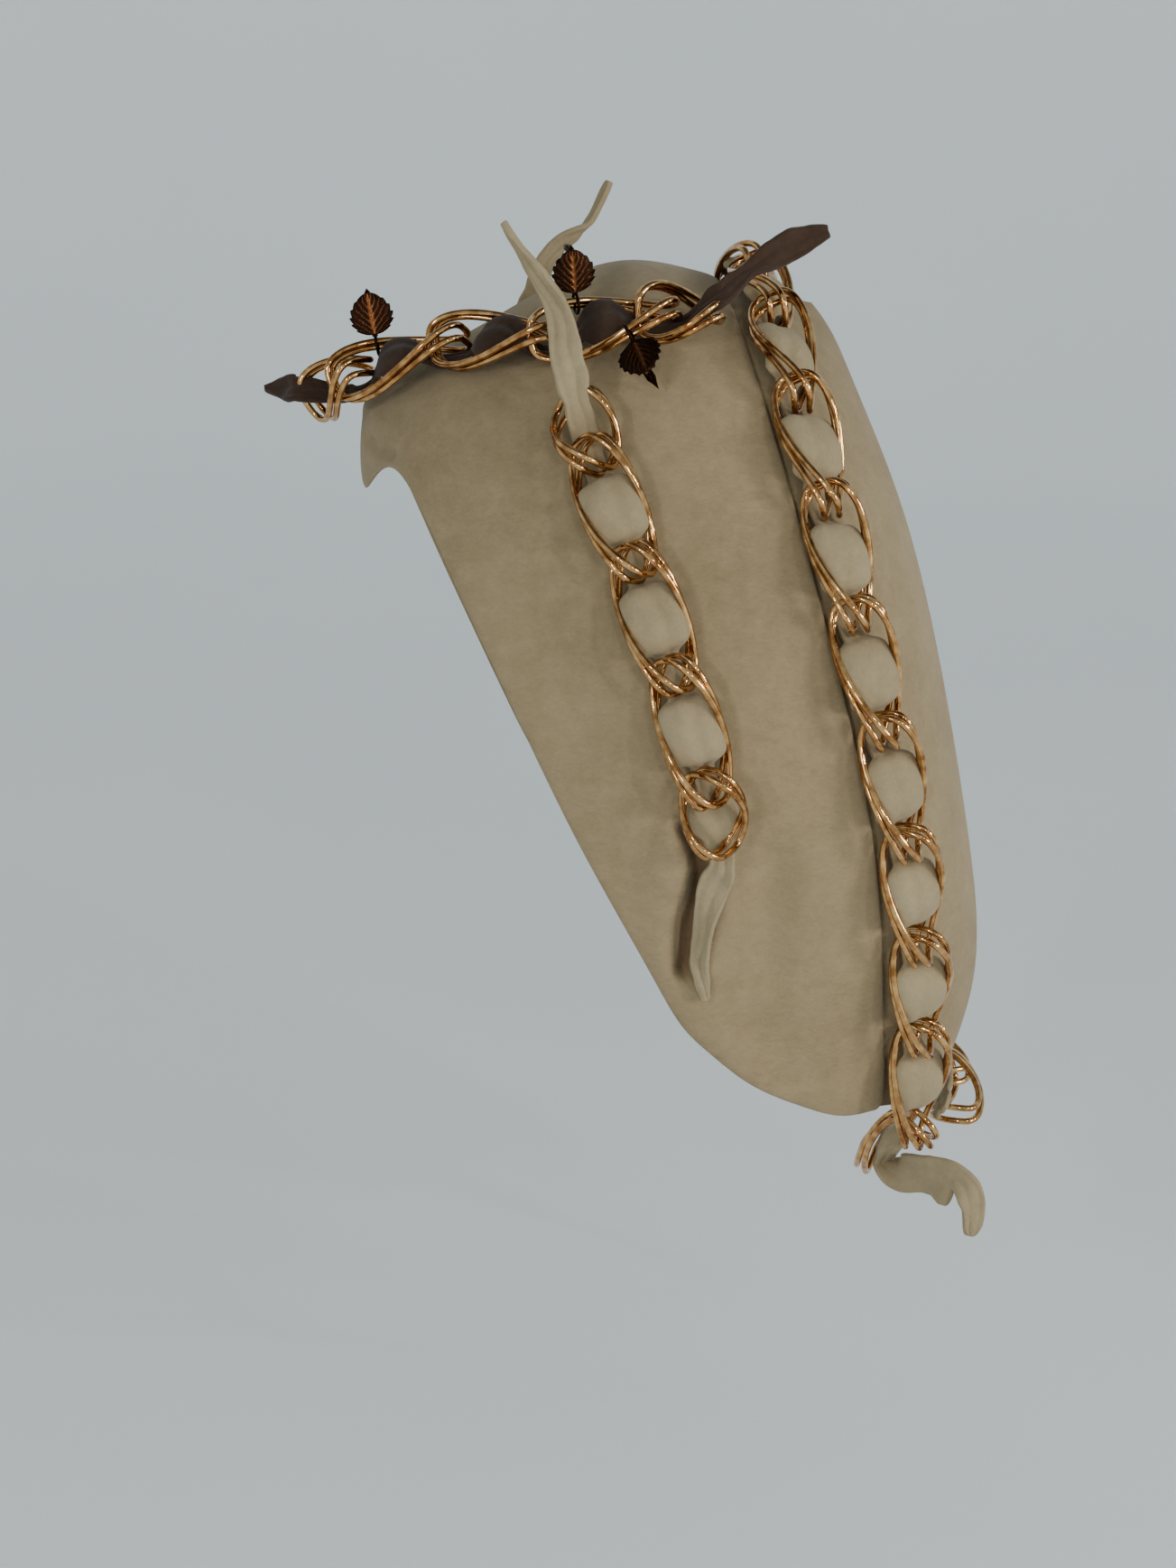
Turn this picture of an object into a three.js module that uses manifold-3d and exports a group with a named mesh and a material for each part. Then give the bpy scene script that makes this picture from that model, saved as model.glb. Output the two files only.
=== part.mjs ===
import * as THREE from 'three';
import { mergeVertices } from 'three/addons/utils/BufferGeometryUtils.js';
import Module from 'manifold-3d';

// Moulded felt turban with four laced chains. Millimetres, +Z up, the brow towards -Y and the
// wearer's left towards +X. The origin is the inside of the crown, where it sits on a head.

// Felt body
const halfWidth = 80;
const depth = 170;
const height = 228;
const feltWall = 2.5;
const gap = 0.4;
const lapLength = 8;

// Chain links: an oval of two wires side by side, turned at its ends so that the next one passes.
// An ovalPower of 1 is an ellipse, and a smaller one a fuller oval.
const linkLength = 41;
const linkWidth = 17.5;
const wireRadius = 0.85;
const linkPitch = 30;
const endLinkLength = 24;
const wreathPitch = 27;
const endTurn = THREE.MathUtils.degToRad(-45);
const ovalPower = 0.78;
const linkSteps = 12;

// Felt strips laced through the chains
const stripWidth = 12;
const stripThickness = 1.6;
const wreathStripShare = 0.72;

// Leaf drops
const leafLength = 13;
const leafWidth = 9.5;
const leafThickness = 0.9;
const ringRadius = 2.55;
const ringWire = 0.4;

// Mesh steps
const panelRows = 12;
const panelColumns = 32;
const backRows = 9;
const routeSteps = 10;
const tailSteps = 2;

// Front panel: hoops from the brow edge back to the seam, each from the crown down one side.
// Every cell is out (of halfWidth), back (of depth) and down (of height).
const PANEL_HOOPS = [
  { at: 0.00, crown: [0, -0.475, 0.285], shoulder: [0.420, -0.43, 0.245], side: [0.775, -0.32, 0.42],
    cheek: [0.875, -0.18, 0.645], hem: [0.79, -0.02, 0.865] },
  { at: 0.15, crown: [0, -0.470, 0.175], shoulder: [0.475, -0.36, 0.195], side: [0.825, -0.255, 0.40],
    cheek: [0.925, -0.105, 0.64], hem: [0.78, 0.07, 0.925] },
  { at: 0.40, crown: [0, -0.315, 0.105], shoulder: [0.550, -0.20, 0.150], side: [0.910, -0.13, 0.37],
    cheek: [0.960, -0.01, 0.65], hem: [0.73, 0.165, 0.965] },
  { at: 0.70, crown: [0, -0.095, 0.020], shoulder: [0.575, -0.04, 0.120], side: [0.960, 0.03, 0.365],
    cheek: [0.990, 0.12, 0.66], hem: [0.69, 0.24, 0.985] },
  { at: 1.00, crown: [0, 0.085, 0.035], shoulder: [0.600, 0.10, 0.125], side: [0.960, 0.175, 0.37],
    cheek: [0.975, 0.265, 0.66], hem: [0.61, 0.315, 0.985] },
];
const STATIONS = ['crown', 'shoulder', 'side', 'cheek', 'hem'];
const STATION_AT = [0, 0.25, 0.5, 0.75, 1];

// Back panel: its middle line from the crown to the nape, as back (of depth) and down (of height)
const BACK_LINE = [
  { at: 0.00, back: 0.224, down: 0.070 },
  { at: 0.10, back: 0.255, down: 0.100 },
  { at: 0.25, back: 0.287, down: 0.155 },
  { at: 0.50, back: 0.385, down: 0.350 },
  { at: 0.75, back: 0.472, down: 0.660 },
  { at: 0.88, back: 0.503, down: 0.846 },
  { at: 1.00, back: 0.445, down: 0.982 },
];

// Dents of the front panel, on both sides: across is the share from brow edge to seam, along the
// share from crown to hem, long and wide are shares of height, rise a share of halfWidth.
const DENTS = [
  { name: 'tuck', across: 0.20, along: 0.845, long: 0.10, wide: 0.045, turn: 0.04, rise: -0.045 },
  { name: 'fold beside the tuck', across: 0.36, along: 0.83, long: 0.10, wide: 0.05, turn: 0.06, rise: 0.018 },
  { name: 'hollow', across: 0.56, along: 0.826, long: 0.12, wide: 0.06, turn: 0.03, rise: -0.025 },
];

// Routes of the chains, from one end to the other. across and along are shares on the panel that
// carries them. lean tips the chain backwards, raise lifts it off the felt, under turns it from the
// outside to below the hem, drop and inward move it past the hem; the last three are shares of
// linkLength.
const SIDE_ROUTE = [
  { across: 0.43, along: 0.29, lean: 0.10 },
  { across: 0.43, along: 0.35, lean: 0.10 },
  { across: 0.47, along: 0.45, lean: 0.10 },
  { across: 0.50, along: 0.55, lean: 0.10 },
  { across: 0.52, along: 0.66, lean: 0.10 },
  { across: 0.50, along: 0.74, lean: 0.10 },
];
const WREATH_ROUTE = [
  { across: 0.12, along: 0.02, raise: 0.13 },
  { across: 0.17, along: 0.10, raise: 0.06 },
  { across: 0.30, along: 0.13 },
  { across: 0.46, along: 0.20 },
  { across: 0.69, along: 0.21 },
  { across: 0.92, along: 0.21 },
];
const BAND_HALF = [
  { across: 0.20, along: 0.92, lean: 0.18, under: 0.10 },
  { across: 0.17, along: 0.83, lean: 0.20 },
  { across: 0.15, along: 0.74, lean: 0.20 },
  { across: 0.14, along: 0.63, lean: 0.20 },
  { across: 0.14, along: 0.52, lean: 0.20 },
  { across: 0.15, along: 0.40, lean: 0.20 },
  { across: 0.16, along: 0.29, lean: 0.20 },
  { across: 0.18, along: 0.18, lean: 0.20 },
];
const BAND_TOP = { across: 0.21, along: 0, lean: 0.15 };
const BAND_START = [
  { across: 0.10, along: 1.0, under: 1.0, drop: 0.30, inward: 0.60 },
  { across: 0.22, along: 1.0, under: 0.55, drop: 0.12, inward: 0.02 },
];
const BAND_END = [
  { across: 0.43, along: -1.0, under: 0.26, drop: 0.00 },
  { across: 0.64, along: -1.0, under: 0.24, drop: 0.04 },
  { across: 1.00, along: -1.0, under: 0.30, drop: 0.04 },
  { across: 1.38, along: -1.0, under: 0.40, drop: 0.08 },
];

// How a strip lies in one link: at 0 is the joint, 0.5 the next link's crossing end and 1 the middle
// of the window. Height from the chain's middle (of the wire's radius) and width (of stripWidth).
const LACING = [
  { at: 0.00, rise: -6.7, width: 0.52 },
  { at: 0.38, rise: -5.7, width: 0.50 },
  { at: 0.54, rise: -3.1, width: 0.58 },
  { at: 0.70, rise: -0.4, width: 0.88 },
  { at: 1.00, rise: 1.0, width: 1.10 },
];

// How a strip leaves the last link, with 1 that link's outer end: up through the window and over
// the end, or flat under it
const LEAVING_OVER = [
  { at: 0.39, rise: -5.6, width: 0.60 },
  { at: 0.55, rise: -4.0, width: 0.60 },
  { at: 0.62, rise: -1.9, width: 0.60 },
  { at: 0.71, rise: 1.5, width: 0.60 },
  { at: 0.81, rise: 4.8, width: 0.50 },
  { at: 0.90, rise: 6.8, width: 0.55 },
];
const LEAVING_UNDER = [
  { at: 0.60, rise: -6.7, width: 0.70 },
  { at: 0.95, rise: -6.7, width: 0.60 },
];

// Free tails from a chain's end, as shares of the tail's length in that end's own directions:
// ahead along the chain, up off the felt, aside to the wearer's left of it. turn is in turns.
const LEFT_RAISED_TAIL = { length: 52, rows: [
  { ahead: 0.14, up: 0.07, aside: -0.01, width: 0.50, turn: 0.05 },
  { ahead: 0.36, up: 0.16, aside: -0.03, width: 0.95, turn: 0.12 },
  { ahead: 0.58, up: 0.26, aside: 0.04, width: 0.60, turn: 0.22 },
  { ahead: 0.77, up: 0.35, aside: 0.10, width: 0.22, turn: 0.35 },
] };
const RIGHT_RAISED_TAIL = { length: 50, rows: [
  { ahead: 0.22, up: 0.10, aside: -0.08, width: 0.75, turn: 0.00 },
  { ahead: 0.46, up: 0.15, aside: -0.20, width: 0.90, turn: 0.10 },
  { ahead: 0.54, up: 0.20, aside: -0.34, width: 0.75, turn: 0.20 },
  { ahead: 0.59, up: 0.26, aside: -0.52, width: 0.95, turn: 0.35 },
  { ahead: 0.73, up: 0.38, aside: -0.69, width: 0.30, turn: 0.45 },
] };
const WREATH_FRONT_TAIL = { length: 34, rows: [
  { ahead: 0.10, up: -0.02, aside: -0.08, width: 0.75, turn: 0.00 },
  { ahead: 0.25, up: 0.00, aside: -0.16, width: 0.60, turn: 0.06 },
  { ahead: 0.45, up: 0.08, aside: -0.24, width: 1.00, turn: 0.12 },
  { ahead: 0.62, up: 0.18, aside: -0.30, width: 0.35, turn: 0.16 },
] };
const WREATH_REAR_TAIL = { length: 46, rows: [
  { ahead: 0.10, up: 0.03, aside: 0.10, width: 0.95, turn: 0.00 },
  { ahead: 0.24, up: 0.07, aside: 0.20, width: 0.55, turn: 0.10 },
  { ahead: 0.44, up: 0.09, aside: 0.32, width: 1.20, turn: 0.16 },
  { ahead: 0.60, up: 0.11, aside: 0.38, width: 0.20, turn: 0.20 },
] };
const HANGING_TAIL = { length: 42, rows: [
  { ahead: -0.10, up: 0.10, aside: 0.04, width: 0.75, turn: 0.00 },
  { ahead: -0.34, up: 0.16, aside: 0.12, width: 0.90, turn: 0.06 },
  { ahead: -0.52, up: 0.26, aside: 0.24, width: 0.95, turn: 0.14 },
  { ahead: -0.50, up: 0.44, aside: 0.30, width: 0.90, turn: 0.22 },
  { ahead: -0.40, up: 0.60, aside: 0.28, width: 0.50, turn: 0.28 },
] };
const SHORT_TAIL = { length: 12, rows: [
  { ahead: 0.40, up: -0.05, aside: 0.00, width: 0.60, turn: 0.00 },
  { ahead: 0.90, up: -0.10, aside: 0.05, width: 0.50, turn: 0.00 },
] };

// The lower tail of a side strip lies in the tuck: places on the front panel and width
const LOW_TAIL = [
  { across: 0.48, along: 0.76, width: 0.60, turn: 0.05 },
  { across: 0.42, along: 0.78, width: 0.70, turn: 0.02 },
  { across: 0.30, along: 0.83, width: 0.50, turn: 0.12 },
  { across: 0.21, along: 0.87, width: 0.75, turn: 0.04 },
  { across: 0.17, along: 0.91, width: 0.30, turn: 0.02 },
];

// Leaf drops: the wreath link that holds one, the side of it, the place round its oval in turns,
// and the way the leaf points as shares ahead, up and aside
const LEAVES = [
  { link: 1, turn: 0.30, ahead: -0.1, up: 1.0, aside: 0.5 },
  { link: 3, turn: 0.30, ahead: 0.0, up: 1.0, aside: 0.5 },
  { link: 3, turn: 0.80, ahead: 0.1, up: 0.0, aside: -1.0 },
];

// Value of a curve through rows, with its slope taken from the rows on either side
function smoothRow(keys, values, at) {
  let i = 0;
  while (i < keys.length - 2 && at > keys[i + 1]) i += 1;
  const slope = (j) => {
    const before = Math.max(0, j - 1);
    const after = Math.min(keys.length - 1, j + 1);
    return (values[after] - values[before]) / (keys[after] - keys[before]);
  };
  const step = keys[i + 1] - keys[i];
  const s = (at - keys[i]) / step;
  const s2 = s * s;
  const s3 = s2 * s;
  return (2 * s3 - 3 * s2 + 1) * values[i] + (s3 - 2 * s2 + s) * step * slope(i)
    + (3 * s2 - 2 * s3) * values[i + 1] + (s3 - s2) * step * slope(i + 1);
}

function column(rows, name, at) {
  return smoothRow(rows.map((row) => row.at), rows.map((row) => row[name] ?? 0), at);
}

// Front panel's outer face without its dents: across 0 brow edge to 1 seam, along -1 right hem,
// 0 crown, 1 left hem
function panelForm(across, along) {
  const hoopAt = PANEL_HOOPS.map((hoop) => hoop.at);
  const down = STATIONS.map((station) => [0, 1, 2].map(
    (axis) => smoothRow(hoopAt, PANEL_HOOPS.map((hoop) => hoop[station][axis]), across)));
  const mirrored = down.slice(1).reverse().map(([out, back, drop]) => [-out, back, drop]);
  const keys = [...STATION_AT.slice(1).reverse().map((at) => -at), ...STATION_AT];
  const cells = [...mirrored, ...down];
  const [out, back, drop] = [0, 1, 2].map((axis) => smoothRow(keys, cells.map((cell) => cell[axis]), along));
  return new THREE.Vector3(out * halfWidth, back * depth, feltWall - drop * height);
}

function backLine(along) {
  const at = Math.abs(along);
  const drop = column(BACK_LINE, 'down', at);
  return new THREE.Vector3(0, column(BACK_LINE, 'back', at) * depth, feltWall - drop * height);
}

// Directions on a surface: along it both ways, and out of it
function directions(surface, across, along) {
  const nudge = 1e-3;
  const a0 = Math.max(0, across - nudge);
  const a1 = Math.min(1, across + nudge);
  const b0 = Math.max(-1, along - nudge);
  const b1 = Math.min(1, along + nudge);
  const backward = surface(a1, along).sub(surface(a0, along)).normalize();
  const downward = surface(across, b1).sub(surface(across, b0)).normalize();
  const out = new THREE.Vector3().crossVectors(downward, backward).normalize();
  return { backward, downward, out };
}

// Offset of the dents at a point of the front panel
const dentFrames = DENTS.map((dent) => {
  const centre = panelForm(dent.across, dent.along);
  const { downward, out } = directions(panelForm, dent.across, dent.along);
  const long = downward.clone().applyAxisAngle(out, dent.turn * 2 * Math.PI);
  const wide = new THREE.Vector3().crossVectors(out, long);
  return { rise: dent.rise * halfWidth, centre, long: long.divideScalar(dent.long * height),
    wide: wide.divideScalar(dent.wide * height) };
});
function dentRise(point) {
  const onLeft = new THREE.Vector3(Math.abs(point.x), point.y, point.z);
  return dentFrames.reduce((sum, dent) => {
    const away = onLeft.clone().sub(dent.centre);
    const fall = away.dot(dent.long) ** 2 + away.dot(dent.wide) ** 2;
    return sum + dent.rise * Math.exp(-fall);
  }, 0);
}

function panelOuter(across, along) {
  const point = panelForm(across, along);
  const { out } = directions(panelForm, across, along);
  return point.clone().addScaledVector(out, dentRise(point));
}
function panelInner(across, along) {
  const point = panelForm(across, along);
  const { out } = directions(panelForm, across, along);
  return point.clone().addScaledVector(out, dentRise(point) - feltWall);
}

// Back panel's outer face: across 0 is its hidden edge under the front panel, lapShare the seam,
// 1 the middle line and up to 2 the same on the other side
const lapShare = 0.08;
function seamUnder(across, along) {
  const { out } = directions(panelForm, across, along);
  return panelForm(across, along).addScaledVector(out, -feltWall - gap);
}
const lapFrom = 1 - lapLength / (panelForm(1, 0.5).distanceTo(panelForm(0.7, 0.5)) / 0.3);
function backOuter(across, along) {
  if (across > 1) return backOuter(2 - across, -along);
  if (across < lapShare) return seamUnder(THREE.MathUtils.lerp(lapFrom, 1, across / lapShare), along);
  const seam = seamUnder(1, along);
  const middle = backLine(along);
  const angle = (across - lapShare) / (1 - lapShare) * Math.PI / 2;
  return new THREE.Vector3(seam.x * Math.cos(angle), THREE.MathUtils.lerp(seam.y, middle.y, Math.sin(angle)),
    THREE.MathUtils.lerp(seam.z, middle.z, Math.sin(angle)));
}
function backDirections(across, along) {
  if (across > 1) return backDirections(2 - across, -along);
  return directions(backOuter, Math.min(across, 0.995), along);
}

// A closed body from its corner points and triangles, with the faces turned out
function bodyFrom(points, triangles) {
  let volume = 0;
  for (const [a, b, c] of triangles) {
    volume += points[a].dot(new THREE.Vector3().crossVectors(points[b], points[c]));
  }
  const index = volume > 0 ? triangles.flat() : triangles.flatMap(([a, b, c]) => [a, c, b]);
  const geometry = new THREE.BufferGeometry();
  geometry.setAttribute('position', new THREE.Float32BufferAttribute(points.flatMap((p) => p.toArray()), 3));
  geometry.setIndex(index);
  geometry.computeVertexNormals();
  return geometry;
}

// A wall between two faces given by the same rows and columns of points. With foldedLastRow the
// last row runs up one side and down the other of one line, so its points are shared.
function wall(outerRows, innerRows, foldedLastRow = false) {
  const rows = outerRows.length;
  const columns = outerRows[0].length;
  const points = [];
  const number = [outerRows, innerRows].map((face) => face.map((row, i) => row.map((point, j) => {
    points.push(point);
    return points.length - 1;
  })));
  if (foldedLastRow) {
    for (const face of number) {
      for (let j = 0; j < columns; j += 1) face[rows - 1][j] = face[rows - 1][Math.min(j, columns - 1 - j)];
    }
  }
  const triangles = [];
  const quad = (a, b, c, d) => {
    if (a !== b && b !== c && a !== c) triangles.push([a, b, c]);
    if (a !== c && c !== d && a !== d) triangles.push([a, c, d]);
  };
  for (let i = 0; i < rows - 1; i += 1) {
    for (let j = 0; j < columns - 1; j += 1) {
      const [o, n] = number;
      quad(o[i][j], o[i][j + 1], o[i + 1][j + 1], o[i + 1][j]);
      quad(n[i][j], n[i + 1][j], n[i + 1][j + 1], n[i][j + 1]);
    }
  }
  const [o, n] = number;
  for (let j = 0; j < columns - 1; j += 1) {
    quad(o[0][j + 1], o[0][j], n[0][j], n[0][j + 1]);
    if (!foldedLastRow) quad(o[rows - 1][j], o[rows - 1][j + 1], n[rows - 1][j + 1], n[rows - 1][j]);
  }
  for (let i = 0; i < rows - 1; i += 1) {
    quad(o[i][0], o[i + 1][0], n[i + 1][0], n[i][0]);
    quad(o[i + 1][columns - 1], o[i][columns - 1], n[i][columns - 1], n[i + 1][columns - 1]);
  }
  const used = [...new Set(triangles.flat())];
  const place = new Map(used.map((old, index) => [old, index]));
  return bodyFrom(used.map((old) => points[old]), triangles.map((t) => t.map((old) => place.get(old))));
}

function grid(rowShares, columnShares, pointAt) {
  return rowShares.map((a) => columnShares.map((b) => pointAt(a, b)));
}
const shares = (count, from, to) => Array.from({ length: count + 1 }, (_, i) => from + (to - from) * i / count);

function frontPanel() {
  const across = [...shares(panelRows, 0, lapFrom), 1];
  const along = shares(panelColumns, -1, 1);
  return wall(grid(across, along, panelOuter), grid(across, along, panelInner));
}

function backPanel() {
  const across = [0, lapShare, ...shares(backRows, lapShare, 1).slice(1)];
  const along = shares(panelColumns, -1, 1);
  const inner = (a, b) => backOuter(a, b).addScaledVector(backDirections(a, b).out, -feltWall);
  const outerRows = grid(across, along, backOuter);
  const innerRows = grid(across, along, inner);
  const last = innerRows.length - 1;
  innerRows[last] = innerRows[last].map((point) => new THREE.Vector3(0, point.y, point.z));
  return wall(outerRows, innerRows, true);
}

// A route on a surface as points, outward directions and the distance run
const restHeight = Math.max(...LACING.map((row) => -row.rise)) * wireRadius + stripThickness / 2 + gap;
function routeOn(surface, surfaceDirections, rows) {
  const keys = rows.map((_, i) => i);
  const value = (name, at) => smoothRow(keys, rows.map((row) => row[name] ?? 0), at);
  const places = shares((rows.length - 1) * routeSteps, 0, rows.length - 1).map((at) => {
    const across = value('across', at);
    const along = THREE.MathUtils.clamp(value('along', at), -1, 1);
    const { out, backward } = surfaceDirections(Math.max(0, across), along);
    out.addScaledVector(backward, value('lean', at)).normalize();
    const under = THREE.MathUtils.clamp(value('under', at), 0, 1);
    out.lerp(new THREE.Vector3(0, 0, -1), under).normalize();
    const point = surface(Math.max(0, across), along);
    const side = Math.sign(point.x);
    point.addScaledVector(out, restHeight + value('raise', at) * linkLength);
    point.z -= value('drop', at) * linkLength;
    point.x -= side * value('inward', at) * linkLength;
    return { point, out };
  });
  let run = 0;
  places.forEach((place, i) => {
    if (i > 0) run += place.point.distanceTo(places[i - 1].point);
    place.run = run;
  });
  return places;
}
function placeAt(route, run) {
  const last = route.length - 1;
  let i = 0;
  while (i < last - 1 && run > route[i + 1].run) i += 1;
  const s = (run - route[i].run) / (route[i + 1].run - route[i].run);
  const point = route[i].point.clone().lerp(route[i + 1].point, s);
  const out = route[i].out.clone().lerp(route[i + 1].out, THREE.MathUtils.clamp(s, 0, 1)).normalize();
  return { point, out };
}

// Links of a chain along a route: end links of a length of their own, and between them whole
// links at an even pitch as near to the wished one as the route allows. Each overlaps the next.
function frameAt(route, run, reach) {
  const ahead = placeAt(route, run + reach).point;
  const behind = placeAt(route, run - reach).point;
  const along = ahead.clone().sub(behind).normalize();
  const aside = new THREE.Vector3().crossVectors(placeAt(route, run).out, along).normalize();
  const out = new THREE.Vector3().crossVectors(along, aside);
  return { point: ahead.add(behind).multiplyScalar(0.5), along, aside, out };
}
function chainOf(route, endLength, wishedPitch) {
  const total = route[route.length - 1].run;
  const overlap = linkLength - wishedPitch;
  const endRun = endLength - overlap / 2;
  const count = Math.max(1, Math.round((total - 2 * endRun) / wishedPitch));
  const pitch = (total - 2 * endRun) / count;
  const joints = shares(count, endRun, total - endRun);
  const spans = [[overlap / 2, endRun], ...joints.slice(1).map((joint, i) => [joints[i], joint]),
    [total - endRun, total - overlap / 2]];
  const links = spans.map(([from, to], i) => {
    const isEnd = i === 0 || i === spans.length - 1;
    const frame = frameAt(route, (from + to) / 2, (to - from) / 2);
    return { ...frame, from, to, length: isEnd ? endLength : linkLength };
  });
  return { route, links, pitch, crossing: (linkLength - pitch) / 2 };
}

// The middle of a link's double wire at an angle round its oval, in the link's own directions
const ovalWidth = linkWidth / 2 - wireRadius;
function wirePoint(angle, length) {
  const turn = endTurn * Math.cos(angle);
  const side = ovalWidth * Math.sign(Math.sin(angle)) * Math.abs(Math.sin(angle)) ** ovalPower;
  return new THREE.Vector3((length / 2 - wireRadius) * Math.cos(angle), side * Math.cos(turn), side * Math.sin(turn));
}
function toWorld(frame, local) {
  return frame.point.clone().addScaledVector(frame.along, local.x)
    .addScaledVector(frame.aside, local.y).addScaledVector(frame.out, local.z);
}
const WIRE_CORNERS = [
  { beside: 1, across: 1 }, { beside: 0, across: 2 }, { beside: -1, across: 1 },
  { beside: -1, across: -1 }, { beside: 0, across: -2 }, { beside: 1, across: -1 },
];
function link(frame) {
  const points = [];
  for (let i = 0; i < linkSteps; i += 1) {
    const angle = 2 * Math.PI * i / linkSteps;
    const turn = endTurn * Math.cos(angle);
    const middle = wirePoint(angle, frame.length);
    const forward = wirePoint(angle + 0.01, frame.length).sub(wirePoint(angle - 0.01, frame.length)).normalize();
    const across = new THREE.Vector3(0, -Math.sin(turn), Math.cos(turn));
    across.addScaledVector(forward, -across.dot(forward)).normalize();
    const beside = new THREE.Vector3().crossVectors(across, forward);
    for (const corner of WIRE_CORNERS) {
      const local = middle.clone().addScaledVector(beside, wireRadius * corner.beside)
        .addScaledVector(across, wireRadius * corner.across);
      points.push(toWorld(frame, local));
    }
  }
  return bodyFrom(points, ringTriangles(linkSteps, WIRE_CORNERS.length));
}
function ringTriangles(steps, sides) {
  const triangles = [];
  for (let i = 0; i < steps; i += 1) {
    for (let j = 0; j < sides; j += 1) {
      const a = i * sides + j;
      const b = i * sides + (j + 1) % sides;
      const c = ((i + 1) % steps) * sides + (j + 1) % sides;
      const d = ((i + 1) % steps) * sides + j;
      triangles.push([a, b, c], [a, c, d]);
    }
  }
  return triangles;
}

// A flat strip swept through places, each with its point, directions, width and turn
function strip(places) {
  const points = [];
  for (const place of places) {
    const wide = place.aside.clone().applyAxisAngle(place.along, place.turn * 2 * Math.PI);
    const thick = new THREE.Vector3().crossVectors(place.along, wide);
    for (const [across, up] of [[-1, -1], [1, -1], [1, 1], [-1, 1]]) {
      points.push(place.point.clone().addScaledVector(wide, across * place.width / 2)
        .addScaledVector(thick, up * stripThickness / 2));
    }
  }
  const triangles = [[0, 1, 2], [0, 2, 3]];
  for (let i = 0; i < places.length - 1; i += 1) {
    for (let j = 0; j < 4; j += 1) {
      const a = i * 4 + j;
      const b = i * 4 + (j + 1) % 4;
      triangles.push([a, b + 4, b], [a, a + 4, b + 4]);
    }
  }
  const end = (places.length - 1) * 4;
  triangles.push([end, end + 2, end + 1], [end, end + 3, end + 2]);
  return bodyFrom(points, triangles);
}

// Distance past a joint of a place in a link: 0.5 lies at the crossing end, 1 at the far end
function pastJoint(at, crossing, far) {
  return at < 0.5 ? 2 * at * crossing : THREE.MathUtils.lerp(crossing, far, 2 * at - 1);
}

// The laced stretch of a strip: under each joint and up into each window
function lacedPlaces(chain, widthShare) {
  const places = [];
  const lay = (link, run, row) => {
    const middle = (link.from + link.to) / 2;
    const point = toWorld(link, new THREE.Vector3(run - middle, 0, row.rise * wireRadius));
    places.push({ ...frameAt(chain.route, run, 1), point, turn: 0, width: row.width * stripWidth * widthShare });
  };
  chain.links.slice(1, -1).forEach((link, i) => {
    const away = (row) => pastJoint(row.at, chain.crossing, chain.pitch / 2);
    for (const row of i === 0 ? LACING : LACING.slice(1)) lay(link, link.from + away(row), row);
    for (const row of LACING.slice(0, -1).reverse()) lay(link, link.to - away(row), row);
  });
  return places;
}

// A free tail: its rows smoothed to places that start at a chain's end
function freeTail(start, tail, widthShare, side) {
  const origin = { ahead: 0, up: 0, aside: 0, width: start.width / (stripWidth * widthShare), turn: 0 };
  const rows = [origin, ...tail.rows];
  const keys = rows.map((_, i) => i);
  const value = (name, at) => smoothRow(keys, rows.map((row) => row[name]), at);
  const pointAt = (at) => start.point.clone()
    .addScaledVector(start.along, value('ahead', at) * tail.length)
    .addScaledVector(start.out, value('up', at) * tail.length)
    .addScaledVector(start.aside, side * value('aside', at) * tail.length);
  return shares(rows.length * tailSteps - tailSteps, 0, rows.length - 1).slice(1).map((at) => {
    const along = pointAt(at + 0.02).sub(pointAt(at - 0.02)).normalize();
    const aside = start.aside.clone().addScaledVector(along, -start.aside.dot(along)).normalize();
    return { point: pointAt(at), along, aside, turn: side * value('turn', at),
      width: value('width', at) * stripWidth * widthShare };
  });
}
const turnedBack = (place) => ({ ...place, along: place.along.clone().negate(),
  aside: place.aside.clone().negate() });

// The places of a strip in a chain's end link, from the joint outwards, heading outwards
function leaving(chain, atEnd, rows, widthShare) {
  const link = atEnd ? chain.links[chain.links.length - 1] : chain.links[0];
  const outwards = atEnd ? 1 : -1;
  const joint = (link.to - link.from) / 2;
  return rows.map((row) => {
    const away = pastJoint(row.at, chain.crossing, link.length - chain.crossing);
    const local = new THREE.Vector3(outwards * (away - joint), 0, row.rise * wireRadius);
    const place = { ...link, point: toWorld(link, local), turn: 0, width: row.width * stripWidth * widthShare };
    return atEnd ? place : turnedBack(place);
  });
}

function wholeStrip(chain, widthShare, startPlaces, endPlaces) {
  return strip([...startPlaces.reverse().map(turnedBack), ...lacedPlaces(chain, widthShare), ...endPlaces]);
}
function withTail(places, tail, widthShare, side) {
  return [...places, ...freeTail(places[places.length - 1], tail, widthShare, side)];
}

function lowTail(side) {
  const rows = LOW_TAIL;
  const keys = rows.map((_, i) => i);
  const value = (name, at) => smoothRow(keys, rows.map((row) => row[name]), at);
  const pointAt = (at) => panelOuter(value('across', at), side * value('along', at));
  return shares((rows.length - 1) * tailSteps, 0, rows.length - 1).map((at) => {
    const along = pointAt(at + 0.02).sub(pointAt(at - 0.02)).normalize();
    const out = directions(panelForm, value('across', at), side * value('along', at)).out;
    const aside = new THREE.Vector3().crossVectors(out, along).normalize();
    const width = value('width', at) * stripWidth;
    const turn = side * value('turn', at);
    const lift = 2 * gap + stripThickness / 2 + width / 2 * Math.abs(Math.sin(turn * 2 * Math.PI));
    return { point: pointAt(at).addScaledVector(out, lift), along, aside, turn, width };
  });
}

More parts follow.
